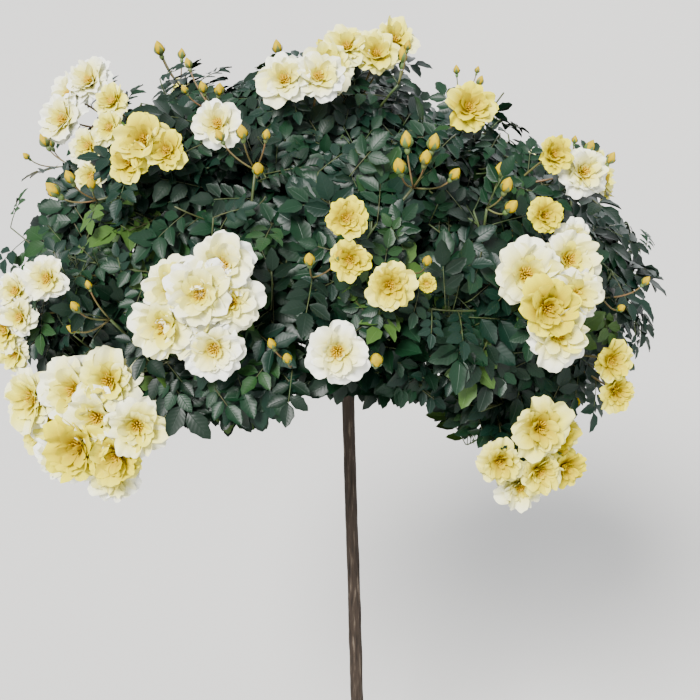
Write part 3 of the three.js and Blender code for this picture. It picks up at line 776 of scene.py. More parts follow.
TRUSSES = (
    Truss(24, 71, 296, 4, 42, 9, 25, 0.60),
    Truss(-9, 58, 313, 2, 18, 2, 21, 0.90, 0.1),
    Truss(-86, 35, 370, 3, 5, 27, 24, 0.95, 0.1),
    Truss(-62, 34, 345, 4, 6, 42, 16, 0.70),
    Truss(-39, 35, 360, 3, 20, 8, 21, 0.15, 0.2),
    Truss(-27, 43, 336, 1, 0, 0, 18, 0.95, 0.1),
    Truss(-18, 12, 396, 7, 46, 52, 28, 0.85, 0.2),
    Truss(-41, -12, 411, 11, 92, 62, 28, 0.78, 0.36, (0, 3)),
    Truss(2, 7, 398, 1, 0, 0, 27, 0.98, 0.0),
    Truss(4, 23, 376, 2, -2, 20, 20, 0.12, 0.1),
    Truss(10, 16, 387, 1, 0, 0, 18, 0.20, 0.1),
    Truss(40, 45, 335, 1, 0, 0, 21, 0.15, 0.1),
    Truss(53, 29, 373, 2, 17, -12, 20, 0.80, 0.2, (0,)),
    Truss(43, 20, 380, 2, 15, -15, 18, 0.88, 0.1, (0,)),
    Truss(36, 11, 404, 5, 46, 46, 27, 0.84, 0.2, (0,)),
    Truss(51, -6, 409, 2, -4, 19, 20, 0.15, 0.2),
    Truss(41, -20.5, 390, 5, 62, 44, 25, 0.32, 0.3),
    Truss(40.5, -28, 384, 1, 0, 0, 20, 0.86, 0.1),
    Truss(-57, 1, 413, 4, 8, 34, 20, 0.70),
    Truss(-47, 11, 406, 1, 0, 0, 21, 0.90, 0.1),
    Truss(99, -12, 388, 2, 20, 8, 22, 0.30),
    Truss(112, 10, 392, 4, 34, -18, 22, 0.60, 0.6),
    Truss(132, 1, 402, 5, 52, 40, 25, 0.50, 0.8),
    Truss(176, 10, 394, 5, 54, 36, 25, 0.60, 0.7),
    Truss(172, 46, 308, 2, 20, 8, 22, 0.25),
    Truss(-148, -9, 386, 4, 40, 12, 23, 0.50, 0.8),
    Truss(-142, 21, 374, 3, 28, -14, 22, 0.80),
    Truss(-122, 0, 406, 5, 50, 38, 25, 0.50, 0.8),
    Truss(15.8, 15.8, 386, 1, 0, 0, 9, 0.05, 0.0),
)

# Stalks of buds: bearing, pitch, reach and number of buds.
BUD_GROUPS = (
    *((-41, 50, 338, 4), (38, 62, 322, 2), (-50, 24, 396, 3), (-16, 36, 366, 4)),
    *((19, 32, 374, 5), (33, 26, 388, 3), (-38, 6, 414, 3), (-5, 3, 404, 2)),
    *((8, 3, 404, 1), (-2, 17, 394, 2), (16, 17, 388, 1), (55, 5, 418, 2)),
    *((59, 24, 394, 2), (46, -20, 394, 3), (92, 22, 366, 2), (104, -8, 396, 2)),
    *((142, 26, 368, 4), (164, -6, 392, 3), (-166, 32, 348, 4), (-104, 16, 402, 3)),
    *((-132, -16, 388, 2), (-172, -2, 396, 2), (-110, 46, 330, 3)),
)


@dataclass
class Blooms:
    """Open blooms as arrays: middle, the way each looks, radius, age, its truss's node, spray."""

    centre: Array
    axis: Array
    radius: Array
    age: Array
    node: Array
    owner: Array


@dataclass
class Carriers:
    """Shoots, twigs or stalks that bear leaves; the numbers name their draws."""

    curves: Curves
    owner: Array
    number: Array
    stray: Array | bool = False  # whether each runs on past the others
    small: float = 1.0  # scale of the leaves
    beyond: float = 1.0  # share of the head's radii that they may fill
    places: tuple = (0.18, 0.38, 0.58, 0.78, 1.0)  # shares of the curve at which they stand

    def thinned(self, kept: Array) -> "Carriers":
        """Those that are kept."""
        curves, stray = Curves(self.curves.knots[kept]), np.broadcast_to(self.stray, kept.shape)
        return Carriers(curves, self.owner[kept], self.number[kept], stray[kept])


@dataclass
class Crown:
    """The round head of the plant and the rule by which its limbs and sprays grow."""

    heart: Array = spot(-45.0, 0.0, 1018.0)
    radii: Array = spot(425.0, 405.0, 292.0)
    union: Array = spot(-23.4, 0.0, 900.0)
    union_radius: float = 19 * MM
    cane_radii: tuple = (5 * MM, 2.6 * MM)
    cane_pitch: tuple = (28, 84)  # of a common cane, and of one that goes straight up
    steep: float = 60  # pitch of a spray above which its cane goes straight up
    foot_handle: float = 0.42  # a bough's handles and rise, as shares of its span
    tip_handle: float = 0.36
    arch: float = 0.1
    follow: float = 0.45  # how far a side bough follows its cane, and climbs
    climb: float = 0.25
    side_girth: float = 0.72
    side_taper: float = 0.8
    head_share: float = 0.95
    wave_height: float = 0.035
    skirt: float = 888 * MM
    front_lift: float = 74 * MM
    front_width: float = 0.62
    stem_lift: float = 0.46
    stem_gap: tuple = (5 * MM, 120 * MM)  # middle and half width of the lifted slope
    stem_slope: tuple = (120 * MM, 300 * MM)  # where it starts in front, and how far it runs
    hang: tuple = (0.74, 0.17, 52 * MM)  # bearing, width and drop
    dents: tuple = (  # bearing, rise, width, height and depth
        (1.45, 0.64, 0.75, 0.26, 0.195),
        (-0.35, 0.72, 0.22, 0.16, 0.09),
        (-2.10, 0.66, 0.54, 0.28, 0.18),
        (-1.05, 0.66, 0.30, 0.13, -0.09),
        (2.10, 0.80, 0.55, 0.22, 0.12),
        (-1.57, 0.24, 0.42, 0.20, 0.05),
        (0.00, 0.98, 9.00, 0.12, 0.07),
    )
    box_room: float = 14 * MM
    entry_share: float = 0.72
    shoots: int = 5
    shoot_run: tuple = (0.12, 0.8)  # share of the stem of the first shoot, and the run of all
    widest: float = 1.62  # angle from the spray's line to its first shoot, in radians
    narrowing: float = 1.05
    wandering: float = 0.3
    shoot_room: float = 14 * MM
    shoot_length: tuple = (0.74, 0.16)  # least and draw, as shares of the spray's half size
    shoot_bow: tuple = (0.16, 0.1)  # along the stem and upwards, as shares of its length
    overreach: float = 1.02
    pedicel_depth: float = 78 * MM
    rounding: float = 150 * MM
    bloom_step: float = 22 * MM
    bloom_gain: float = 1.12
    bloom_draw: tuple = (0.84, 0.32)
    stand_back: float = 0.6  # how many steps the others may stand behind the dome
    golden_stand: float = 0.4
    golden_turn: float = 0.35
    zigzag: float = 9  # in millimetres
    row_limit: int = 4  # a truss of more blooms fills a spiral
    fresh_age: float = 0.10
    sun_pull: float = 0.45

    def __post_init__(self) -> None:
        """Works out where each spray goes, its bough, and its own stem, an arc out to its face."""
        self.outward = np.array([towards(s.bearing, s.pitch) for s in SPRAYS])
        self.size = np.array([s.size for s in SPRAYS]) * MM
        reach = np.array([s.reach for s in SPRAYS]) * MM
        self.centre = self.heart + self.outward * (reach - self.size)[:, None]
        depth = self.entry_share * self.size[:, None]
        self.entry = self.centre + unit(self.union - self.centre) * depth
        self.boughs = Curves(np.zeros((len(SPRAYS), 4, 3)))
        self.bough_radii = np.zeros((len(SPRAYS), 2))
        names = [spray.name for spray in SPRAYS]
        for number in sorted(range(len(SPRAYS)), key=lambda n: SPRAYS[n].carrier != "union"):
            carrier = SPRAYS[number].carrier
            self._bough(number, names.index(carrier) if carrier in names else None)
        arrival = self.boughs.tangents(np.array([1.0]))[:, 0]
        tip = self.centre + self.outward * depth
        reach = np.linalg.norm(tip - self.entry, axis=-1, keepdims=True)
        self.stems = Curves.arcs(self.entry, self.entry + arrival * 0.5 * reach, tip)

    def _bough(self, number: int, parent: int | None) -> None:
        """Grows a cane from the graft union, or a bough that leaves a cane part of the way along.

        It arches from its foot and comes into its spray along the spray's line.

        Args:
            number: number of the spray that it carries.
            parent: number of the cane that it leaves, or none.
        """
        spray, entry = SPRAYS[number], self.entry[number]
        if parent is None:
            start = towards(spray.bearing, self.cane_pitch[spray.pitch > self.steep])
            foot = self.union + start * 0.5 * self.union_radius
            radii = self.cane_radii
        else:
            foot, along = (a[0] for a in self.boughs.at([parent], np.array([spray.at])))
            start = unit(along * self.follow + unit(entry - foot) + UP * self.climb)
            thick, thin = self.bough_radii[parent]
            base = self.side_girth * (thick + (thin - thick) * spray.at)
            radii = (base, min(self.cane_radii[1], self.side_taper * base))
        span = np.linalg.norm(entry - foot)
        early = foot + start * self.foot_handle * span
        late = entry - unit(self.centre[number] - entry) * self.tip_handle * span
        self.boughs.knots[number] = [foot, early, late + UP * self.arch * span, entry]
        self.bough_radii[number] = radii

    def owners(self, points: Array) -> Array:
        """The spray that holds each point: the least squared distance less size squared."""
        apart = points[..., None, :] - self.centre
        return np.argmin(np.sum(apart**2, axis=-1) - self.size**2, axis=-1)

    def inside(self, points: Array, share: Array | float = 1.0) -> Array:
        """Whether each point is inside the round head, drawn in to a share, and above its skirt.

        The head's radii are waved by sines of the bearing and dented by bells of bearing and
        rise. The skirt is lifted along the front rim and, in a slope, where the stem shows, and
        one part of it hangs lower.

        Args:
            points: points with any leading axes.
            share: share of the head's radii.

        Returns:
            A truth value for each point.
        """
        apart = (points - self.heart) / self.radii
        far = np.linalg.norm(apart, axis=-1)
        turn = np.arctan2(apart[..., 0], -apart[..., 1])
        rise = apart[..., 2] / np.maximum(far, 1e-9)
        waves = np.sin(5 * turn + 1.3) * np.cos(4.0 * rise) + 0.7 * np.sin(11 * turn + 7 * rise)
        dent = sum(
            deep * bell((turn - bearing) / wide) * bell((rise - level) / tall)
            for bearing, level, wide, tall, deep in self.dents
        )
        rim = bell(turn / self.front_width) * np.clip(far * 3.0 - 1.9, 0, 1)
        middle = bell(((points[..., 0] - self.stem_gap[0]) / self.stem_gap[1]) ** 2)
        start, run = self.stem_slope
        slope = self.stem_lift * middle * np.clip(-points[..., 1] - start, 0, run)
        bearing, wide, drop = self.hang
        hang = drop * bell((turn - bearing) / wide)
        skirt = self.skirt + np.maximum(self.front_lift * rim, slope) - hang
        low, high = (np.array(corner) for corner in CAD_BOX)
        boxed = np.all((points > low - self.box_room) & (points < high + self.box_room), axis=-1)
        wall = share * (self.head_share - dent + self.wave_height * waves)
        return (far < wall) & (points[..., 2] > skirt) & boxed

    def room(self, owner: Array, aim: Array) -> Array:
        """How far a line from each spray's middle runs before it meets the wall of its space.

        Args:
            owner: spray of each line.
            aim: unit direction of each line.

        Returns:
            The lengths.
        """
        apart = self.centre[None] - self.centre[owner][:, None]
        slope = np.einsum("nsk,nk->ns", apart, aim)
        wall = 0.5 * (np.sum(apart**2, -1) + self.size[owner][:, None] ** 2 - self.size[None] ** 2)
        run = np.where(slope > 1e-9, wall / np.maximum(slope, 1e-9), np.inf)
        run[np.arange(len(owner)), owner] = np.inf
        return run.min(axis=1)

    def shoot_curves(self) -> Carriers:
        """The shoots of every spray: each leaves the stem and arcs to its own aim on the face.

        Returns:
            The shoots that stay in the crown, numbered in their spray.
        """
        owner, number = paired(len(SPRAYS), self.shoots)
        outward = self.outward[owner]
        share = spaced(self.shoot_run, number + 0.5, self.shoots)
        turn = number * GOLDEN_ANGLE + TURN * draw(owner, 1)
        wide = self.widest - self.narrowing * share + shaken(self.wandering, owner, number, 2)
        aim = swung(outward, swung(*facing(outward), turn[:, None]), wide[:, None])
        wish = self.size[owner] * dealt(self.shoot_length, owner, number, 3)
        length = np.minimum(wish, self.room(owner, aim) - self.shoot_room)[:, None]
        foot, along = self.stems.at(owner, share)
        tip = self.centre[owner] + aim * length
        ahead, rise = self.shoot_bow
        bend = 0.5 * (foot + tip) + along * ahead * length + UP * rise * length
        arcs = Carriers(Curves.arcs(foot, bend, tip), owner, number)
        return arcs.thinned(self.inside(tip, self.overreach))

    def blooms(self) -> Blooms:
        """The open blooms of every truss, over a shallow dome that looks out.

        Returns:
            The blooms, truss by truss.
        """
        rows: list[tuple] = []
        for number, truss in enumerate(TRUSSES):
            outward = towards(truss.bearing, truss.pitch)
            pull = OPEN_SIDE * self.sun_pull * (1 + outward @ OPEN_SIDE)
            face = unit(outward + pull)
            across, upwards = facing(face)
            middle = self.heart + outward * truss.reach * MM
            node = self.heart + outward * (truss.reach * MM - self.pedicel_depth)
            halfway = self.heart + outward * (truss.reach * MM - 0.5 * self.pedicel_depth)
            owner = self.owners(halfway)
            for i in range(truss.blooms):
                x, y = self._place(truss, number, i)
                aside = (across * x + upwards * y) * MM
                golden = i in truss.golden
                stand = self.golden_stand if golden else draw(number, i, 13) - self.stand_back
                stand = stand * self.bloom_step if truss.blooms > self.row_limit else 0.0
                centre = middle + aside + face * (stand - (aside @ aside) / (2 * self.rounding))
                turned = self.golden_turn if golden else 1.0
                axis = face + aside * turned / self.rounding + pull
                radius = self.bloom_gain * truss.radius * MM * dealt(self.bloom_draw, number, i, 9)
                age = self.fresh_age if golden else truss.age
                age = age + shaken(truss.spread, number, i, 10)
                rows.append((centre, unit(axis), radius, np.clip(age, 0, 1), node, owner))
        return Blooms(*(np.array(column) for column in zip(*rows)))

    def _place(self, truss: Truss, number: int, i: int) -> tuple[float, float]:
        """How far across and upwards a bloom sits: in a zigzag row, or on a sunflower spiral.

        Args:
            truss: the truss.
            number: its number.
            i: the bloom's number.

        Returns:
            The two distances in millimetres.
        """
        across, upwards = truss.across, truss.upwards
        if truss.blooms == 1:
            return 0.0, 0.0
        if truss.blooms <= self.row_limit:
            along = 2 * i / (truss.blooms - 1) - 1
            hop = self.zigzag * (1 if i % 2 else -1) * (truss.blooms > 2)
            hop = hop / np.hypot(across, upwards)
            return along * across - hop * upwards, along * upwards + hop * across
        rim = np.sqrt((i + 0.6) / truss.blooms)
        turn = i * GOLDEN_ANGLE + TURN * draw(number, 8)
        return float(rim * across * np.cos(turn)), float(rim * upwards * np.sin(turn))


@dataclass
class Stem:
    """The bare stem: a flat cut, root flare, slight lean, and the swollen graft union."""

    heights: tuple = (0, 14, 42, 110, 300, 560, 820, 858, 884, 900, 911, 918)
    radii: tuple = (19, 16, 12.2, 10.0, 9.35, 8.85, 8.5, 11.0, 17.1, 19, 16.3, 9.5)
    crest: float = 920
    lean: float = -0.026
    columns: int = 64
    rows: int = 300
    crowding: float = 0.035  # how far the rows draw together at both ends
    ridge: float = 0.9
    ridges: int = 46
    drift: float = 0.22
    lobes: int = 5
    lobe_depth: float = 1.6
    lobe_height: float = 34
    knob_height: float = 896
    knob_half: float = 20
    lump: float = 1.1
    seed: int = 7

    def surface(self) -> Array:
        """The skin: the profile's radius less ridges that are sums of waves round and up the stem.

        Returns:
            Points as one sheet of rows and columns.
        """
        height = np.linspace(0, 1, self.rows)
        height = self.crest * (height + self.crowding * np.sin(TURN * height))
        height = np.clip(height, 0, self.heights[-1])
        radius = np.interp(height, self.heights, self.radii)[:, None]
        turn = np.linspace(0, TURN, self.columns, endpoint=False)
        high = height[:, None]
        rng = np.random.default_rng(self.seed)
        relief = np.zeros((self.rows, self.columns))
        for _ in range(self.ridges):
            waves = rng.integers(3, 22)
            climb = rng.uniform(-0.09, 0.09)
            phase = rng.uniform(0, SHORT_TURN)
            relief += np.sin(waves * turn + climb * high + phase) / self.ridges**0.5
        drift = np.sin(2 * turn + 0.011 * high) + np.sin(3 * turn - 0.017 * high + 1.3)
        lumps = np.sin(4 * turn + 0.06 * high) * np.sin(0.16 * high + 2 * turn)
        knob = bell((high - self.knob_height) / self.knob_half)
        roots = np.exp(-high / self.lobe_height) * (np.cos(self.lobes * turn + 0.7) - 0.7)
        radius = radius - self.ridge * (0.5 + 0.55 * relief) - self.drift * drift
        radius = radius + self.lump * knob * lumps + self.lobe_depth * roots
        axes = radius * np.cos(turn) + self.lean * high, radius * np.sin(turn), high
        return np.stack(np.broadcast_arrays(*axes), axis=-1)[None] * MM

    def build(self) -> None:
        """Makes the bark skin, closed by a flat cut below and a low crest above."""
        pile = Pile()
        pile.sheets(self.surface(), closed=True, ends=True)
        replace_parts(pile.make("stem_bark", [BarkFinish().make()], "bark"), "stem")


@dataclass
class Canes:
    """The boughs: tapering canes with swollen joints and hooked prickles."""

    crown: Crown
    sides: int = 10
    rings: int = 40
    joint_gap: float = 42 * MM
    joint_swell: float = 0.16
    joint_sharpness: float = 7
    foot_swell: float = 0.35
    foot_run: float = 12 * MM
    prickles: int = 11
    prickle_run: tuple = (0.12, 0.8)
    prickle_length: float = 5.5 * MM
    prickle_draw: tuple = (0.7, 0.5)
    prickle_radii: tuple = (1.7 * MM, 0.15 * MM)
    prickle_seat: float = 0.35  # share of the cane's radius at which it starts
    prickle_bend: float = 0.8  # how far out it bends, and how far back its point goes
    prickle_hook: float = 0.55

    def skin(self) -> Array:
        """The skins: an even taper that swells at the foot and by a bell at each joint.

        Returns:
            Points as cane, ring, corner and coordinate.
        """
        boughs = self.crown.boughs
        radii = np.linspace(*self.crown.bough_radii.T, self.rings, axis=1)
        span = np.linalg.norm(boughs.knots[:, 3] - boughs.knots[:, 0], axis=-1)[:, None]
        run = np.linspace(0, 1, self.rings) * span
        phase = run / self.joint_gap
        swell = self.joint_swell * bell((phase - np.round(phase)) * self.joint_sharpness)
        swell = 1 + swell + self.foot_swell * np.exp(-run / self.foot_run)
        return boughs.rings(radii * swell, self.sides)

    def hooks(self) -> Array:
        """The prickles: short cones on the canes that bend back to the foot of the cane.

        Returns:
            Points as prickle, ring, corner and coordinate.
        """
        cane, number = paired(len(SPRAYS), self.prickles)
        share = spaced(self.prickle_run, number + draw(cane, number, 31), self.prickles)
        foot, along = self.crown.boughs.at(cane, share)
        turn = (number * GOLDEN_ANGLE + SHORT_TURN * draw(cane, 32))[:, None]
        out = swung(*facing(along), turn)
        length = self.prickle_length * dealt(self.prickle_draw, cane, number, 33)[:, None]
        start = foot + out * (self.crown.bough_radii[cane, 0] * self.prickle_seat)[:, None]
        point = start + out * length - along * length * self.prickle_hook
        arcs = Curves.arcs(start, start + out * length * self.prickle_bend, point)
        return arcs.tubes(*self.prickle_radii, 4, 5)

    def build(self) -> None:
        """Makes the canes and their prickles as one piece."""
        pile = Pile()
        for slot, grid in enumerate((self.skin(), self.hooks())):
            pile.sheets(grid, slot, closed=True, ends=True)
        wood = StalkFinish("cane", (0.075, 0.105, 0.035), (0.085, 0.052, 0.030), 0.85)
        hook = StalkFinish("prickle", (0.19, 0.10, 0.04), (0.16, 0.045, 0.025), 0.9)
        piece = pile.make("canes", [wood.make(), hook.make()], "cane")
        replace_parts(piece, *(f"bough_{spray.name}" for spray in SPRAYS))


@dataclass
class LeafPlaces:
    """Leaves as arrays: base; along, side and face; scale, spray, own draw and shoot's draw."""

    base: Array
    frame: Array
    scale: Array
    owner: Array
    mark: Array
    shoot: Array


@dataclass
class Foliage:
    """Shoots, finer twigs and compound leaves, each spray in its own share of the crown."""

    crown: Crown
    blooms: Blooms
    green_stalks: list[Carriers]
    leaf_length: float = 94 * MM
    leaf_width: float = 0.60
    tries: int = 7
    twigs_each: int = 7
    twig_run: tuple = (0.22, 0.7)
    twig_length: tuple = (0.42, 0.22)  # least and draw, as shares of the spray's half size
    twig_aim: tuple = (0.55, 0.85)  # along the shoot, and square to it
    twig_rise: float = 0.08
    twig_bend: float = 0.55
    twig_limits: tuple = (1.03, 0.9)  # shares of the head that a stray and the others may reach
    twig_shrink: float = 0.92
    twig_step: float = 1.4  # golden angles by which each try turns further
    leaf_draw: tuple = (0.86, 0.28)
    leaf_angle: float = 1.05
    tip_angle: tuple = (0.25, 0.2)  # of the leaf at a curve's tip, and what each try adds
    leaf_shrink: float = 0.9
    leaf_step: float = 1.7
    leaf_middle: float = 0.55
    flattening: tuple = (0.35, 0.7)  # of the leaf at a curve's tip, and of the others
    droop: float = 0.12
    sky_pull: float = 0.75
    side_pull: float = 0.34
    sway: float = 0.7
    bloom_room: tuple = (16 * MM, 90 * MM)  # beside and in front of an open bloom
    bloom_bounds: tuple = (1.05, 0.35)  # its width and its back, as shares of its radius
    stray_share: float = 0.14
    stray_gain: float = 1.45
    stray_small: float = 0.78
    stray_limit: float = 1.06
    leaflet_rows: int = 7
    oval: tuple = (0.82, 0.8, 0.045)  # powers of the share and of its sine, and the least width
    teeth: tuple = (-0.06, 0.07, 0.035)  # a tooth's foot, its point, and how far on it points
    end_leaflet: tuple = (0.62, 0.0, 0.36)  # where it stands, its heading and its length
    pair_stand: tuple = (0.56, 0.20, 0.02)  # less for each pair before, and for each on the leaf
    pair_offset: float = 0.015
    pair_heading: tuple = (1.02, 0.1)
    pair_length: tuple = (0.335, 0.04)
    leaflet_draw: tuple = (0.94, 0.12)
    fold: tuple = (0.22, 0.3)
    arch: tuple = (0.06, 0.2)
    wave: float = 0.05
    roll: float = 0.5
    leaflet_lift: float = 0.8 * MM
    leaflet_gap: float = 0.02
    stalk_run: tuple = (0.31, 0.64)  # middle and tip of a leaf's stalk, as shares of the leaf
    stalk_arch: tuple = (0.16, 0.26)
    kinds: int = 6
    green_mix: tuple = (0.7, 0.3)  # shares of the leaf's own draw and of its spray's
    green_steps: tuple = (0.36, 0.62, 0.88)
    young_share: float = 0.05
    young_rim: float = 0.74

    def __post_init__(self) -> None:
        """Grows the shoots, the twigs and the leaves."""
        self.shoots = self.crown.shoot_curves()
        self.twigs = self._twigs()
        every = np.arange(len(SPRAYS))
        stems = Carriers(self.crown.stems, every, 400 + every)
        boughs = Carriers(self.crown.boughs, every, 500 + every, small=0.9)
        bearing = (self.shoots, self.twigs, *self.green_stalks, stems, boughs)
        batches = [self._leaves(carriers) for carriers in bearing]
        columns = zip(*(vars(batch).values() for batch in batches))
        self.leaves = LeafPlaces(*(np.concatenate(column) for column in columns))

    def _twigs(self) -> Carriers:
        """Finer twigs that leave each shoot at the golden angle, kept to the spray's own space.

        A few strays run on past the others and make the outline ragged.

        Returns:
            The twigs that find room.
        """
        parent, k = paired(len(self.shoots.owner), self.twigs_each)
        owner, number = self.shoots.owner[parent], 20 + 7 * self.shoots.number[parent] + k
        foot, along = self.shoots.curves.at(parent, spaced(self.twig_run, k, self.twigs_each))
        square, (ahead, aside) = facing(along), self.twig_aim
        stray = draw(owner, number, 43) > 1 - self.stray_share
        length = self.crown.size[owner] * dealt(self.twig_length, owner, number, 41)
        length = (length * np.where(stray, self.stray_gain, 1.0))[:, None]
        limit = np.where(stray, *self.twig_limits)
        kept = np.zeros(len(parent), bool)
        tips, starts = np.zeros_like(foot), np.zeros_like(foot)
        for attempt in range(self.tries):
            turn = (k + self.twig_step * attempt) * GOLDEN_ANGLE
            turn = turn + SHORT_TURN * draw(owner, number, 42)
            start = unit(along * ahead + swung(*square, turn[:, None]) * aside)
            tip = foot + start * length * self.twig_shrink**attempt + UP * self.twig_rise * length
            fits = self.crown.inside(tip, limit) & (self.crown.owners(tip) == owner) & ~kept
            tips[fits], starts[fits] = tip[fits], start[fits]
            kept |= fits
        arcs = Curves.arcs(foot, foot + starts * self.twig_bend * length, tips)
        return Carriers(arcs, owner, number, stray).thinned(kept)

    def _leaves(self, bearing: Carriers) -> LeafPlaces:
        """Leaves along each curve at the golden angle; each try turns one further and shrinks it.

        A leaf leans to the light: out from the head's heart, up, and to the open side.

        Args:
            bearing: the shoots, twigs or stalks.

        Returns:
            The leaves that find room.
        """
        curves, owner, number = bearing.curves, bearing.owner, bearing.number
        share = np.array(bearing.places)[None]
        j, last = np.arange(share.size), share == 1.0
        base, along = curves.points(share), curves.tangents(share)
        square = facing(along)
        keys = (owner[:, None], number[:, None], j)
        shape = base.shape[:2]
        home = np.broadcast_to(owner[:, None], shape)
        kept, scales, frames = np.zeros(shape, bool), np.zeros(shape), np.zeros((*shape, 3, 3))
        stray = np.broadcast_to(bearing.stray, owner.shape)[:, None]
        limit = np.where(stray, self.stray_limit, bearing.beyond)
        size = bearing.small * np.where(stray, self.stray_small, 1.0)
        outward = unit(base - self.crown.heart)
        pull = OPEN_SIDE * (self.side_pull * (1 + dot(outward, OPEN_SIDE)))
        light = unit(outward + UP * self.sky_pull + pull)
        tilted = light.copy()
        for axis in (0, 1):
            tilted[..., axis] += shaken(self.sway, *keys, 5 + axis)
        (least, more), flattening = self.tip_angle, np.where(last, *self.flattening)[..., None]
        for attempt in range(self.tries):
            turn = (j + self.leaf_step * attempt) * GOLDEN_ANGLE + TURN * draw(*keys, 4)
            spread = np.where(last, least + more * attempt, self.leaf_angle)[..., None]
            point = swung(along, swung(*square, turn[..., None]), spread)
            point = point - light * flattening * dot(point, light)
            point = unit(point - UP * self.droop)
            side = unit(np.cross(point, tilted))
            posed = np.stack([point, side, unit(np.cross(side, point))], axis=-2)
            scale = size * dealt(self.leaf_draw, *keys, 7) * self.leaf_shrink**attempt
            length = scale[..., None] * self.leaf_length
            tip = base + point * length
            fits = self.crown.inside(tip, limit) & (self.crown.owners(tip) == home)
            fits &= self._clear(base + point * self.leaf_middle * length, scale) & ~kept
            frames[fits], scales[fits] = posed[fits], scale[fits]
            kept |= fits
        mark = np.broadcast_to(draw(*keys, 11), shape)[kept]
        shoot = np.broadcast_to(draw(owner, number, 12)[:, None], shape)[kept]
        return LeafPlaces(base[kept], frames[kept], scales[kept], home[kept], mark, shoot)

    def _clear(self, middle: Array, scale: Array) -> Array:
        """Whether a leaf's middle stays out of the way of every open bloom's face.

        Args:
            middle: middles of the leaves.
            scale: their scales.

        Returns:
            A truth value for each leaf.
        """
        blooms, (beside, before), (wide, back) = self.blooms, self.bloom_room, self.bloom_bounds
        apart = middle[..., None, :] - blooms.centre
        high = np.sum(apart * blooms.axis, axis=-1)
        aside = np.linalg.norm(apart - high[..., None] * blooms.axis, axis=-1)
        near = aside < blooms.radius * wide + beside * scale[..., None]
        return ~np.any(near & (high > -back * blooms.radius) & (high < before), axis=-1)

    def leaflet(self, length: float, fold: float, arch: float, wave: float) -> Array:
        """One leaflet lying along X: an oval that comes to a point, toothed, folded and arched.

        The half width is a sine of the share to a power that puts the widest place near the foot,
        with every other row's edge set in as a tooth. The edges rise by the fold, the tip falls by
        the arch times the share squared.

        Args:
            length: its length.
            fold: rise of its edges against their distance from the midrib.
            arch: fall of its tip against its length.
            wave: height of the waves along its edges against its width.

        Returns:
            Points as row, column and coordinate.
        """
        share = np.linspace(0.0, 1.0, self.leaflet_rows)[:, None]
        odd = np.arange(self.leaflet_rows)[:, None] % 2
        width, edge = self.leaf_width * length, np.abs(EDGES)
        (early, blunt, least), (inner, outer, on) = self.oval, self.teeth
        tooth = 1 + np.where(odd == 0, inner, outer) * edge
        y = 0.5 * width * np.maximum(np.sin(np.pi * share**early) ** blunt, least) * tooth * EDGES
        x = length * share + on * length * edge * odd * (share < 1)
        z = fold * np.abs(y) - arch * length * share**2 + wave * width * edge * np.sin(9 * share)
        return np.stack(np.broadcast_arrays(x, y, z), axis=-1)

    def compound(self, pairs: int, seed: int) -> tuple[Array, Array]:
        """A compound leaf lying along X: a leaflet at its end and pairs that stand off its stalk.

        Args:
            pairs: number of pairs.
            seed: names the draws that make it differ.

        Returns:
            Points as leaflet, row, column and coordinate, and the stalk's line of three points.
        """
        full, (stand, less, sink) = self.leaf_length, self.pair_stand
        heads = [self.end_leaflet]
        for pair in range(pairs):
            at = stand - less * pair - sink * pairs
            size = self.pair_length[0] - self.pair_length[1] * pair
            for way in (-1, 1):
                heading = way * dealt(self.pair_heading, seed, pair, way)
                heads.append((at + self.pair_offset * way, heading, size))
        leaflets = []
        for number, (at, heading, size) in enumerate(heads):
            length = size * full * dealt(self.leaflet_draw, seed, number, 51)
            fold, arch = dealt(self.fold, seed, number, 52), dealt(self.arch, seed, number, 53)
            flat = self.leaflet(length, fold, arch, self.wave * draw(seed, number, 54))
            turned = flat @ wheel(shaken(self.roll, seed, number, 55), 1, 2) @ wheel(heading, 0, 1)
            foot = np.array([at * full, 0.0, self.rise(at) + self.leaflet_lift])
            step = np.array([np.cos(heading), np.sin(heading), 0.0]) * self.leaflet_gap * full
            leaflets.append(turned + foot + step * (number > 0))
        middle, tip = self.stalk_run
        line = ((0, 0), (middle * full, 2 * self.rise(middle)), (tip * full, self.rise(tip)))
        return np.array(leaflets), np.array([[x, 0, z] for x, z in line])

    def rise(self, at: float) -> float:
        """How high a leaf's stalk stands at a share of the leaf: a line less a square."""
        return self.leaf_length * (self.stalk_arch[0] * at - self.stalk_arch[1] * at**2)

    def greens(self) -> Array:
        """The green of each leaf: by its spray, with a few young shoots near the rim.

        Returns:
            Slot numbers.
        """
        leaves, (own, shared) = self.leaves, self.green_mix
        mixed = own * leaves.mark + shared * draw(leaves.owner, 61)
        slots = np.digitize(mixed, self.green_steps)
        outer = np.linalg.norm((leaves.base - self.crown.heart) / self.crown.radii, axis=-1)
        young = (leaves.shoot > 1 - self.young_share) & (outer > self.young_rim)
        return np.where(young, list(Green).index(Green.YOUNG), slots)

    def build(self) -> None:
        """Makes the leaves in four joined pieces and hands each its sprays."""
        leaves, heart = self.leaves, self.crown.heart
        templates = [self.compound(2 if kind % 3 else 3, kind)[0] for kind in range(self.kinds)]
        kinds = (draw(leaves.owner, leaves.mark * 97, 71) * self.kinds).astype(int)
        greens = self.greens()
        front, left = leaves.base[:, 1] < heart[1], leaves.base[:, 0] < heart[0]
        finishes = [LeafFinish(green).make() for green in Green]
        for name, chosen in (
            ("leaves_front_left", front & left),
            ("leaves_front_right", front & ~left),
            ("leaves_back_left", ~front & left),
            ("leaves_back_right", ~front & ~left),
        ):
            pile = Pile()
            for kind, template in enumerate(templates):
                picked = np.flatnonzero(chosen & (kinds == kind))
                self._lay(pile, template, picked, greens)
            piece = pile.make(name, finishes, "foliage")
            held = sorted(SPRAY_NODES[i] for i in set(leaves.owner[chosen]))
            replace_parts(piece, *held)

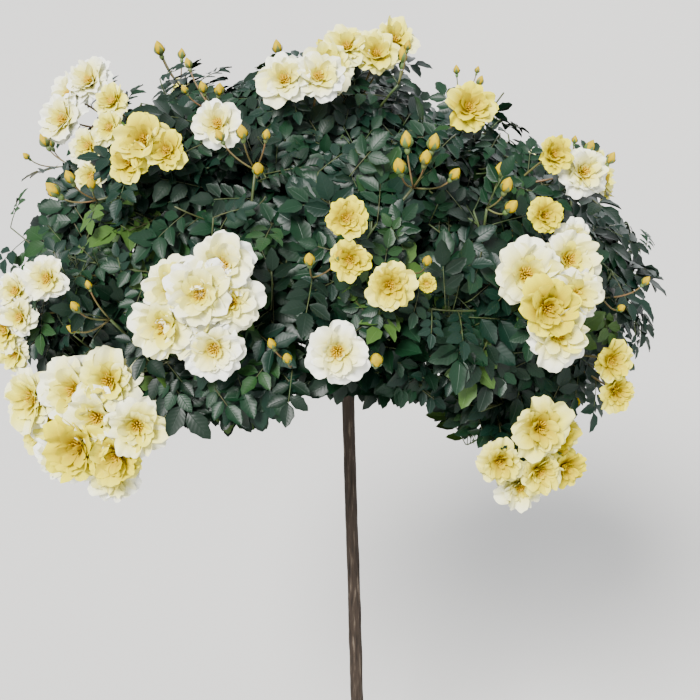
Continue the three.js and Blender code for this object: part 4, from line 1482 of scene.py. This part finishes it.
    def _lay(self, pile: Pile, template: Array, picked: Array, greens: Array) -> None:
        """Lays one kind of compound leaf at its places: along, side and face times the points.

        Args:
            pile: where the leaflets go.
            template: points as leaflet, row, column and coordinate.
            picked: numbers of the leaves.
            greens: slot of every leaf.
        """
        leaves = self.leaves
        laid = np.einsum("lrck,nkm->nlrcm", template, leaves.frame[picked])
        laid = laid * leaves.scale[picked][:, None, None, None, None]
        laid = laid + leaves.base[picked][:, None, None, None]
        along = np.linspace(0, 1, self.leaflet_rows)[:, None]
        values = {"leaf_side": EDGES, "leaf_along": along}
        slots = np.repeat(greens[picked], len(template))
        pile.sheets(laid.reshape(-1, *template.shape[1:]), slots, values=values)

    def stalks(self) -> Curves:
        """Lays the stalk's line of three points at each leaf.

        Returns:
            One arc a leaf.
        """
        line = np.einsum("pk,nkm->npm", self.compound(2, 1)[1], self.leaves.frame)
        line = line * self.leaves.scale[:, None, None] + self.leaves.base[:, None]
        return Curves.arcs(*np.moveaxis(line, 1, 0))


@dataclass(frozen=True)
class PetalShape:
    """How a petal is cut and curved: lengths as shares of its length, angles in radians."""

    crowding: float = 0.85  # power that draws the rows together at its end
    corner: float = 0.13  # how far its corners fall back
    notch: tuple = (0.05, 0.2)  # depth and half width of the notch in its end
    fringe: tuple = ((0.025, 5.2, 1), (0.015, 11, -1))  # waves of its end, as in waved
    opening: tuple = (0.42, 0.58, 0.8)  # share of its angle at the foot, the rest, and a power
    curl: tuple = (0.9, 0.3, 0.5)  # what opening adds to it, what is taken off, and the draw
    half_width: float = 0.44
    foot_width: float = 0.14
    full: tuple = (0.68, 0.75)  # row from which it is full, and the power of the sine up to it
    taper: tuple = (0.72, 0.28, 0.12)  # row from which it narrows, the run, and by how much
    skew: float = 0.24
    foot_radius: float = 0.05
    wrap_radius: float = 0.42
    ruffle: tuple = ((0.070, 4.4, 1), (0.050, 8.6, 2.3))
    ruffle_draw: tuple = (0.6, 0.8)
    ruffle_gain: float = 1.3
    cup: tuple = (0.02, 0.14)
    inner_cup: float = 0.16  # what the inner whorls add
    groove: tuple = (0.03, 0.3)  # depth and half width of the groove along its middle
    depth: float = 0.34  # of its foot under the bloom's middle, as a share of the radius


@dataclass
class Flowers:
    """Open blooms with whorls of ruffled petals round golden stamens, and pointed buds."""

    crown: Crown
    blooms: Blooms
    rows: int = 7
    columns: int = 11
    fine: int = 33  # steps that a petal's line is summed in
    petal: PetalShape = PetalShape()
    whorls: tuple = (  # petals, length against the bloom's radius, and opening
        *((7, 1.20, 1.0), (6, 1.10, 0.76)),
        *((6, 0.90, 0.50), (4, 0.62, 0.24)),
    )
    open_angle: tuple = (75, 23)  # in degrees, and what age adds
    late_opening: float = 0.40  # what age adds to the angle of the inner whorls
    inner_youth: float = 0.45  # how much younger the inner whorls look
    heart_gold_and_shade_run: tuple = (0.42, 0.58)  # share of a petal's colours that whorls show, by opening; the inner whorls keep to the darker gold, partly painted shade of the heart
    whorl_turn: float = 0.55
    turn_draw: float = 0.45
    open_draw: float = 0.42
    age_draw: float = 0.18
    petal_draw: tuple = (0.84, 0.28)
    pedicel_leaves: tuple = (0.0, 0.3, 0.6)
    stamens: int = 26
    heart_depth: float = 0.3  # the heart's sizes are shares of the bloom's radius
    heart_spread: tuple = (0.06, 0.24)  # of the stamens at their feet, and what the tips add
    stamen_length: tuple = (0.44, 0.10, 0.08)  # in the middle, less at the rim, and the draw
    stamen_bend: float = 0.6
    stamen_radii: Array = spot(0.28, 0.26, 0.26, 0.95, 0.75)
    bud_length: float = 15.5 * MM
    bud_radius: float = 5.3 * MM
    bud_depth: float = 46
    bud_away: tuple = (32, 30)
    bud_scale: tuple = (0.66, 0.62)
    bud_tilt: float = 0.85
    bud_sides: int = 15
    bud_rings: int = 11
    bud_wind: float = 1.4  # thirds of a turn by which its folds wind from foot to tip
    bud_fold: tuple = (0.92, 0.12)
    bud_colours: tuple = (0.08, 0.5)
    sepal_rows: int = 6
    sepal_length: float = 0.62
    sepal_bend: tuple = (1.75, 0.35)
    sepal_depth: float = 0.36
    bud_sepal: tuple = (0.52, 0.2)  # share of the bud that its sepals cover, and the draw
    hip_sizes: tuple = (0.15, 0.50)  # against the bloom's radius and the bud's
    hip_run: tuple = (-2.1, -1.0, 0.3)  # of its line along the axis, in its own radii
    hip_profile: tuple = (0.45, 0.8, 1.0, 0.95, 0.6)
    truss_at: float = 0.55  # share of the spray's stem at which a truss's stalk leaves it
    bud_at: float = 0.6

    def __post_init__(self) -> None:
        """Places the buds of every group, on a cone about a node that looks out and up."""
        rows, at = [], np.array([self.bud_at])
        for number, (bearing, pitch, reach, count) in enumerate(BUD_GROUPS):
            outward = towards(bearing, pitch)
            node = self.crown.heart + outward * (reach - self.bud_depth) * MM
            foot = self.crown.stems.at([int(self.crown.owners(node))], at)[0][0]
            face = unit(outward + UP * 0.55)
            for i in range(count):
                turn = i * GOLDEN_ANGLE + SHORT_TURN * draw(number, 81)
                tilt = self.bud_tilt * np.sqrt(i / (count - 1)) if count > 1 else 0.1
                axis = unit(face + swung(*facing(face), turn) * tilt)
                away = dealt(self.bud_away, number, i, 82) * MM
                size = dealt(self.bud_scale, number, i, 83)
                rows.append((node + axis * away, unit(axis + UP * 0.75), node, foot, size))
        columns = (np.array(column) for column in zip(*rows))
        self.buds, self.bud_axis, self.bud_node, self.bud_foot, self.bud_size = columns

    def petals(self, pile: Pile, chosen: Array) -> None:
        """Adds the petals of some blooms, whorl by whorl.

        Args:
            pile: where they go.
            chosen: numbers of the blooms.
        """
        for whorl, (number, reach, opening) in enumerate(self.whorls):
            which, i = (keys[:, None, None] for keys in paired(len(chosen), number))
            bloom = chosen[which]
            age = self.blooms.age[bloom]
            keys, inward = (bloom, i, whorl), 1 - opening
            turn = i * TURN / number + whorl * self.whorl_turn + shaken(self.turn_draw, *keys, 91)
            turn = turn + SHORT_TURN * draw(bloom, 92)
            angle, gain = self.open_angle
            wide = np.radians(angle + gain * age) * opening + shaken(self.open_draw, *keys, 93)
            wide = wide + self.late_opening * inward * age
            length = self.blooms.radius[bloom] * reach * dealt(self.petal_draw, *keys, 94)
            grid, share = self._petal_grid((bloom, i + 7 * whorl), turn, wide, length, opening)
            shown = age - self.inner_youth * inward + shaken(self.age_draw, *keys, 95)
            # Inner whorls show only the lower, darker part of the run: partly their real golden
            # colour, partly painted shade of the heart.
            gold_and_shade_reach = self.heart_gold_and_shade_run[0] + self.heart_gold_and_shade_run[1] * opening
            values = {"petal_share": share * gold_and_shade_reach, "petal_age": np.clip(shown, 0, 1)}
            pile.sheets(grid[:, :, ::-1], values=values)

    def _petal_grid(
        self, keys: tuple[Array, Array], turn: Array, wide: Array, length: Array, opening: float
    ) -> tuple[Array, Array]:
        """Points of a batch of petals and how far along each point is.

        A petal's line from foot to edge turns away from the bloom's axis by an angle that grows
        with the share, and the sheet wraps about the axis by its half width. Its end is rounded
        and notched, its sides cup, and two sines ruffle its edge.

        Args:
            keys: the bloom of each petal and its own number, which name its draws.
            turn: its bearing round the bloom's axis.
            wide: the angle to which it opens.
            length: its length.
            opening: 1 in the outer whorl, less towards the heart.

        Returns:
            Points as petal, row, column and coordinate, and shares as petal, row and column.
        """
        petal, axis, radius = self.petal, self.blooms.axis[keys[0]], self.blooms.radius[keys[0]]
        radial = swung(*facing(axis), turn[..., None])
        rows = np.linspace(0.0, 1.0, self.rows)[:, None] ** petal.crowding
        side = np.linspace(-1.0, 1.0, self.columns)
        phase = SHORT_TURN * draw(*keys, 96)
        deep, narrow = petal.notch
        end = 1 - petal.corner * np.abs(side) ** 4 - deep * bell(side / narrow)
        share = rows * waved(end, petal.fringe, side, phase)
        fine = np.linspace(0, 1, self.fine)
        (first, rest, power), (more, less, drawn) = petal.opening, petal.curl
        curl = more * opening - less + shaken(drawn, *keys, 100)
        bend = wide * (first + rest * fine**power) + curl * fine**4
        place = share * (self.fine - 1)
        low = np.clip(place.astype(int), 0, self.fine - 2)
        part, one = place - low, np.arange(len(bend))[:, None, None]
        runs = (np.cumsum(wave(bend), axis=-1)[:, 0] / (self.fine - 1) for wave in (np.sin, np.cos))
        far, high = (
            (run[one, low] * (1 - part) + run[one, low + 1] * part) * length for run in runs
        )
        (top, blunt), (start, run, narrowing) = petal.full, petal.taper
        full = np.sin(0.5 * np.pi * np.clip(rows / top, 0, 1)) ** blunt
        full = full * (1 - narrowing * np.clip((rows - start) / run, 0, 1) ** 2)
        skew = shaken(petal.skew, *keys, 103) * share**2
        aside = (petal.half_width * np.maximum(full, petal.foot_width) * side + skew) * length
        far = far + petal.foot_radius * length
        wrap = aside / np.maximum(far, petal.wrap_radius * length)
        ruffle = dealt(petal.ruffle_draw, *keys, 97) * waved(0.0, petal.ruffle, side, phase)
        cup = dealt(petal.cup, *keys, 99) + petal.inner_cup * (1 - opening)
        deep, narrow = petal.groove
        groove = -deep * bell(side / narrow) * share
        lift = ruffle * share**2 * petal.ruffle_gain + cup * side**2 * share + groove
        lift = length * lift
        ring = swung(radial, np.cross(axis, radial), wrap[..., None])
        foot = self.blooms.centre[keys[0]] - axis * petal.depth * radius[..., None]
        return foot + ring * far[..., None] + axis * (high + lift)[..., None], share

    def hearts(self) -> Curves:
        """Sets the stamens on a sunflower spiral at each bloom's heart.

        Returns:
            Their lines, one arc a stamen.
        """
        bloom, i = paired(len(self.blooms.radius), self.stamens)
        radius, axis = self.blooms.radius[bloom][:, None], self.blooms.axis[bloom]
        rim = np.sqrt((i + 0.5) / self.stamens)[:, None]
        out = swung(*facing(axis), (i * GOLDEN_ANGLE + bloom)[:, None])
        (feet, tips), (tall, less, drawn) = self.heart_spread, self.stamen_length
        base = self.blooms.centre[bloom] - axis * self.heart_depth * radius
        base = base + out * rim * feet * radius
        length = radius * (tall - less * rim + drawn * draw(bloom, i, 98)[:, None])
        tip = base + axis * length + out * rim * tips * radius
        return Curves.arcs(base, base + axis * self.stamen_bend * length, tip)

    @staticmethod
    def bud_profile(share: Array) -> Array:
        """A bud's radius along it: a sine of a power of the share, widest low down."""
        return np.maximum(np.sin(np.pi * np.clip(share, 0.02, 0.985) ** 0.72) ** 0.8, 0.05)

    def bud_bodies(self, pile: Pile) -> None:
        """Adds the buds' petals: pointed eggs whose skin steps in three wound folds.

        Args:
            pile: where they go.
        """
        share, (thin, step) = np.linspace(0.0, 1.0, self.bud_rings), self.bud_fold
        turn = np.arange(self.bud_sides) / self.bud_sides
        wound = (3 * turn + self.bud_wind * share[:, None]) % 1.0
        radii = self.bud_radius * self.bud_profile(share)[:, None] * (thin + step * wound)
        half = self.bud_axis * 0.5 * (self.bud_length * self.bud_size)[:, None]
        line = Curves.arcs(self.buds - half, self.buds, self.buds + half)
        grid = line.rings(radii * self.bud_size[:, None, None], self.bud_sides)
        least, run = self.bud_colours
        shown = least + run * wound * share[:, None]
        values = {"petal_share": shown, "petal_age": np.zeros(1)}
        pile.sheets(grid, closed=True, ends=True, values=values)

    def _green_sheets(
        self, pile: Pile, foot: Array, axis: Array, line: tuple[Array, Array], half: Array
    ) -> None:
        """Adds five narrow sheets round each axis.

        Args:
            pile: where they go.
            foot: middle of the flower's foot.
            axis: the way it looks.
            line: how far each row is from the axis and along it, as flower, sepal and row.
            half: half the angle that each row fills, in radians.
        """
        turn = np.arange(5) * TURN / 5 + SHORT_TURN * draw(np.arange(len(foot)), 101)[:, None]
        bearing = (turn[:, :, None, None] + half[:, None] * EDGES)[..., None]
        out, high = (run[..., None, None] for run in line)
        across, upwards = (square[:, None, None, None] for square in facing(axis))
        points = foot[:, None, None, None] + swung(across, upwards, bearing) * out
        points = points + axis[:, None, None, None] * high
        pile.sheets(points.reshape(-1, *points.shape[2:]))

    def sepals(self, pile: Pile) -> None:
        """Adds five sepals under each bloom, bent back, five that hug each bud, and the hips.

        Args:
            pile: where they go.
        """
        blooms, five, share = self.blooms, np.arange(5), np.linspace(0, 1, self.sepal_rows)
        size = self.sepal_length * blooms.radius[:, None, None]
        bend, shake = self.sepal_bend
        bend = (bend + shaken(shake, np.arange(len(size))[:, None], five, 102))[..., None] * share
        out = size * (0.10 + 0.16 * np.sin(np.pi * share) + 0.6 * share * np.sin(bend))
        half = 0.9 * np.sin(np.pi * (0.30 + 0.68 * share)) * (1 - 0.55 * share)
        foot = blooms.centre - blooms.axis * self.sepal_depth * blooms.radius[:, None]
        high = size * share * np.cos(bend * 0.8)
        self._green_sheets(pile, foot, blooms.axis, (out, high), half)
        size = self.bud_size[:, None, None]
        reach = dealt(self.bud_sepal, np.arange(len(size))[:, None], five, 104)[..., None] * share
        skin = self.bud_radius * size * self.bud_profile(np.maximum(reach, 0.03))
        high = reach * self.bud_length * size
        half = 0.56 * (1 - share**1.5) + 0.02
        bud_foot = self.buds - self.bud_axis * 0.5 * self.bud_length * size[:, 0]
        line = (1.10 * skin + 0.5 * MM * share, high)
        self._green_sheets(pile, bud_foot, self.bud_axis, line, half)
        centre = np.concatenate([foot, bud_foot])
        axis = np.concatenate([blooms.axis, self.bud_axis])
        wide, slim = self.hip_sizes
        hip = np.concatenate([wide * blooms.radius, slim * self.bud_radius * self.bud_size])
        lobe = axis * hip[:, None]
        line = Curves.arcs(*(centre + lobe * run for run in self.hip_run))
        rings = line.rings(hip[:, None] * np.array(self.hip_profile), 8)
        pile.sheets(rings, closed=True, ends=True)

    def stalks(self) -> Carriers:
        """The stalks of the trusses and of the bud groups, arcs from the spray's stem.

        Returns:
            One stalk a node, which bears smaller leaves.
        """
        nodes, stems = (self.blooms.node, self.bud_node), self.crown.stems
        first, lone = (np.unique(np.round(n, 6), axis=0, return_index=True)[1] for n in nodes)
        owner, bud_node = self.blooms.owner[first], self.bud_node[lone]
        foot = stems.at(owner, np.full(len(owner), self.truss_at))[0]
        feet = np.concatenate([foot, self.bud_foot[lone]])
        tips = np.concatenate([self.blooms.node[first], bud_node])
        owners = np.concatenate([owner, self.crown.owners(bud_node)])
        arcs = Curves.arcs(feet, 0.5 * (feet + tips) + UP * 10 * MM, tips)
        return Carriers(arcs, owners, 300 + np.arange(len(owners)), small=0.8, beyond=1.22)

    @staticmethod
    def _necks(node: Array, neck: Array, axis: Array) -> Curves:
        """Arcs from nodes to the necks of flowers, where they come in from behind."""
        reach = np.linalg.norm(neck - node, axis=-1, keepdims=True)
        return Curves.arcs(node, neck - axis * 0.4 * reach, neck)

    def pedicels(self) -> Curves:
        """The stalk of each bloom, from its truss's node to its neck."""
        neck = self.blooms.centre - self.blooms.axis * 0.5 * self.blooms.radius[:, None]
        return self._necks(self.blooms.node, neck, self.blooms.axis)

    def bearing(self) -> list[Carriers]:
        """The stalks and the blooms' pedicels, which bear smaller leaves.

        Returns:
            The two batches.
        """
        owner = self.blooms.owner
        number, places = 600 + np.arange(len(owner)), self.pedicel_leaves
        pedicels = Carriers(self.pedicels(), owner, number, False, 0.6, 1.3, places)
        return [self.stalks(), pedicels]

    def bud_pedicels(self) -> Curves:
        """The stalk of each bud, from its group's node to its neck."""
        neck = self.buds - self.bud_axis * (0.6 * self.bud_length * self.bud_size)[:, None]
        return self._necks(self.bud_node, neck, self.bud_axis)

    def build(self) -> None:
        """Makes the petals, the buds, the stamens and the green parts as pieces of their own."""
        petal = PetalFinish().make()
        front = self.blooms.centre[:, 1] < self.crown.heart[1]
        for name, chosen in (("petals_front", front), ("petals_back", ~front)):
            petals = Pile()
            self.petals(petals, np.flatnonzero(chosen))
            petals.make(name, [petal], "foliage")
        buds, hearts, green = Pile(), Pile(), Pile()
        self.bud_bodies(buds)
        buds.make("buds", [petal], "foliage")
        lines = self.hearts()
        radii = np.broadcast_to(self.stamen_radii, (len(lines.knots), len(self.stamen_radii)))
        hearts.sheets(lines.rings(radii, 4), closed=True, ends=True)
        hearts.make("stamens", [StamenFinish().make()], "foliage")
        self.sepals(green)
        sepal = StalkFinish("sepal", (0.085, 0.170, 0.045), (0.140, 0.085, 0.035), 0.5)
        green.make("sepals", [sepal.make()], "foliage")


@dataclass
class Twigs:
    """Everything woody or green that carries the leaves and the flowers."""

    crown: Crown
    foliage: Foliage
    flowers: Flowers
    stem_tip: float = 2.4 * MM

    def build(self) -> None:
        """Makes the sprays' stems, shoots, finer twigs, stalks and pedicels as one piece."""
        pile, foliage, flowers = Pile(), self.foliage, self.flowers
        tips = np.minimum(self.crown.bough_radii[:, 1], self.stem_tip) / MM
        for lines, base, tip, rings, sides, slot in (
            (self.crown.stems, tips, 1.1, 9, 7, 0),
            (foliage.shoots.curves, 1.7, 1.1, 7, 6, 0),
            (foliage.twigs.curves, 1.2, 0.8, 5, 5, 0),
            (foliage.stalks(), 0.75, 0.55, 4, 3, 0),
            (flowers.stalks().curves, 1.8, 1.4, 7, 6, 0),
            (flowers.pedicels(), 1.3, 1.1, 7, 6, 1),
            (flowers.bud_pedicels(), 0.95, 0.85, 7, 6, 1),
        ):
            tube = lines.tubes(base * MM, tip * MM, rings, sides)
            pile.sheets(tube, slot, closed=True, ends=True)
        green = StalkFinish("green_wood")
        red = StalkFinish("pedicel", (0.100, 0.130, 0.040), (0.190, 0.070, 0.035), 0.8)
        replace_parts(pile.make("twigs", [green.make(), red.make()], "cane"), *SPRAY_NODES)


@dataclass
class Studio:
    """A plain pale floor, soft light and a camera at the photograph's angle."""

    aim: tuple = (-0.019, 0.0, 0.893)
    distance: float = 1.7
    elevation: float = 24.0
    lens: float = 67.3
    floor_half: float = 30.0
    floor_height: float = -2 * MM
    floor_colour: tuple = (0.56, 0.55, 0.53, 1.0)
    sky: tuple = (0.93, 0.96, 1.0, 1.0)
    lamps: tuple = (  # name, place, the angle that it fills, power and colour
        ("key", (-1.2, -2.4, 3.4), 0.35, 8.4, (1.0, 0.985, 0.96)),
        ("fill", (2.6, -1.6, 2.6), 1.2, 0.8, (0.95, 0.97, 1.0)),
        ("back", (1.4, 3.0, 2.2), 1.2, 2.2, (0.97, 0.98, 1.0)),
    )

    def build(self) -> None:
        """Sets the floor, the even sky, the large lamps that look at the crown, and the camera."""
        mesh = bpy.data.meshes.new("floor")
        square = ((-1, -1), (1, -1), (1, 1), (-1, 1))
        corners = [(x * self.floor_half, y * self.floor_half, self.floor_height) for x, y in square]
        mesh.from_pydata(corners, [], [(0, 1, 2, 3)])
        mesh.materials.append(Paint("floor", Base_Color=self.floor_colour, Roughness=0.9).material)
        floor = bpy.data.objects.new("floor", mesh)
        bpy.context.scene.collection.objects.link(floor)
        world = bpy.data.worlds.new("sky")
        bpy.context.scene.world = world
        world.use_nodes = True
        background = next(n for n in world.node_tree.nodes if n.type == "BACKGROUND")
        background.inputs["Color"].default_value = self.sky
        background.inputs["Strength"].default_value = 1.0
        for name, place, spread, power, colour in self.lamps:
            data = bpy.data.lights.new(name, "SUN")
            data.angle, data.energy, data.color = spread, power, colour
            self._stand(name, data, np.array(place))
        rise = np.radians(self.elevation)
        back = np.array([0.0, -np.cos(rise), np.sin(rise)])
        data = bpy.data.cameras.new("camera")
        data.lens, data.sensor_width = self.lens, 36.0
        data.dof.use_dof = False
        place = np.array(self.aim) + self.distance * back
        bpy.context.scene.camera = self._stand("camera", data, place)

    def _stand(self, name: str, data: Any, place: Array) -> bpy.types.Object:
        """Stands a lamp or the camera at a place and turns it to the crown, its top upright.

        Args:
            name: its name.
            data: its lamp or camera data.
            place: where it stands.

        Returns:
            The object, linked to the scene.
        """
        thing = bpy.data.objects.new(name, data)
        bpy.context.scene.collection.objects.link(thing)
        thing.location = place
        back = unit(place - np.array(self.aim))
        right = unit(np.cross(UP, back))
        matrix = np.stack([right, np.cross(back, right), back], axis=1)
        thing.rotation_euler = Matrix(matrix.tolist()).to_euler()
        return thing


def main() -> None:
    """Builds the plant piece by piece, then the studio."""
    logging.basicConfig(level=logging.INFO, format="%(message)s")
    crown = Crown()
    blooms = crown.blooms()
    Stem().build()
    Canes(crown).build()
    flowers = Flowers(crown, blooms)
    foliage = Foliage(crown, blooms, flowers.bearing())
    LOG.info("compound leaves: %d", len(foliage.leaves.scale))
    foliage.build()
    flowers.build()
    Twigs(crown, foliage, flowers).build()
    Studio().build()


if __name__ == "__main__":
    main()
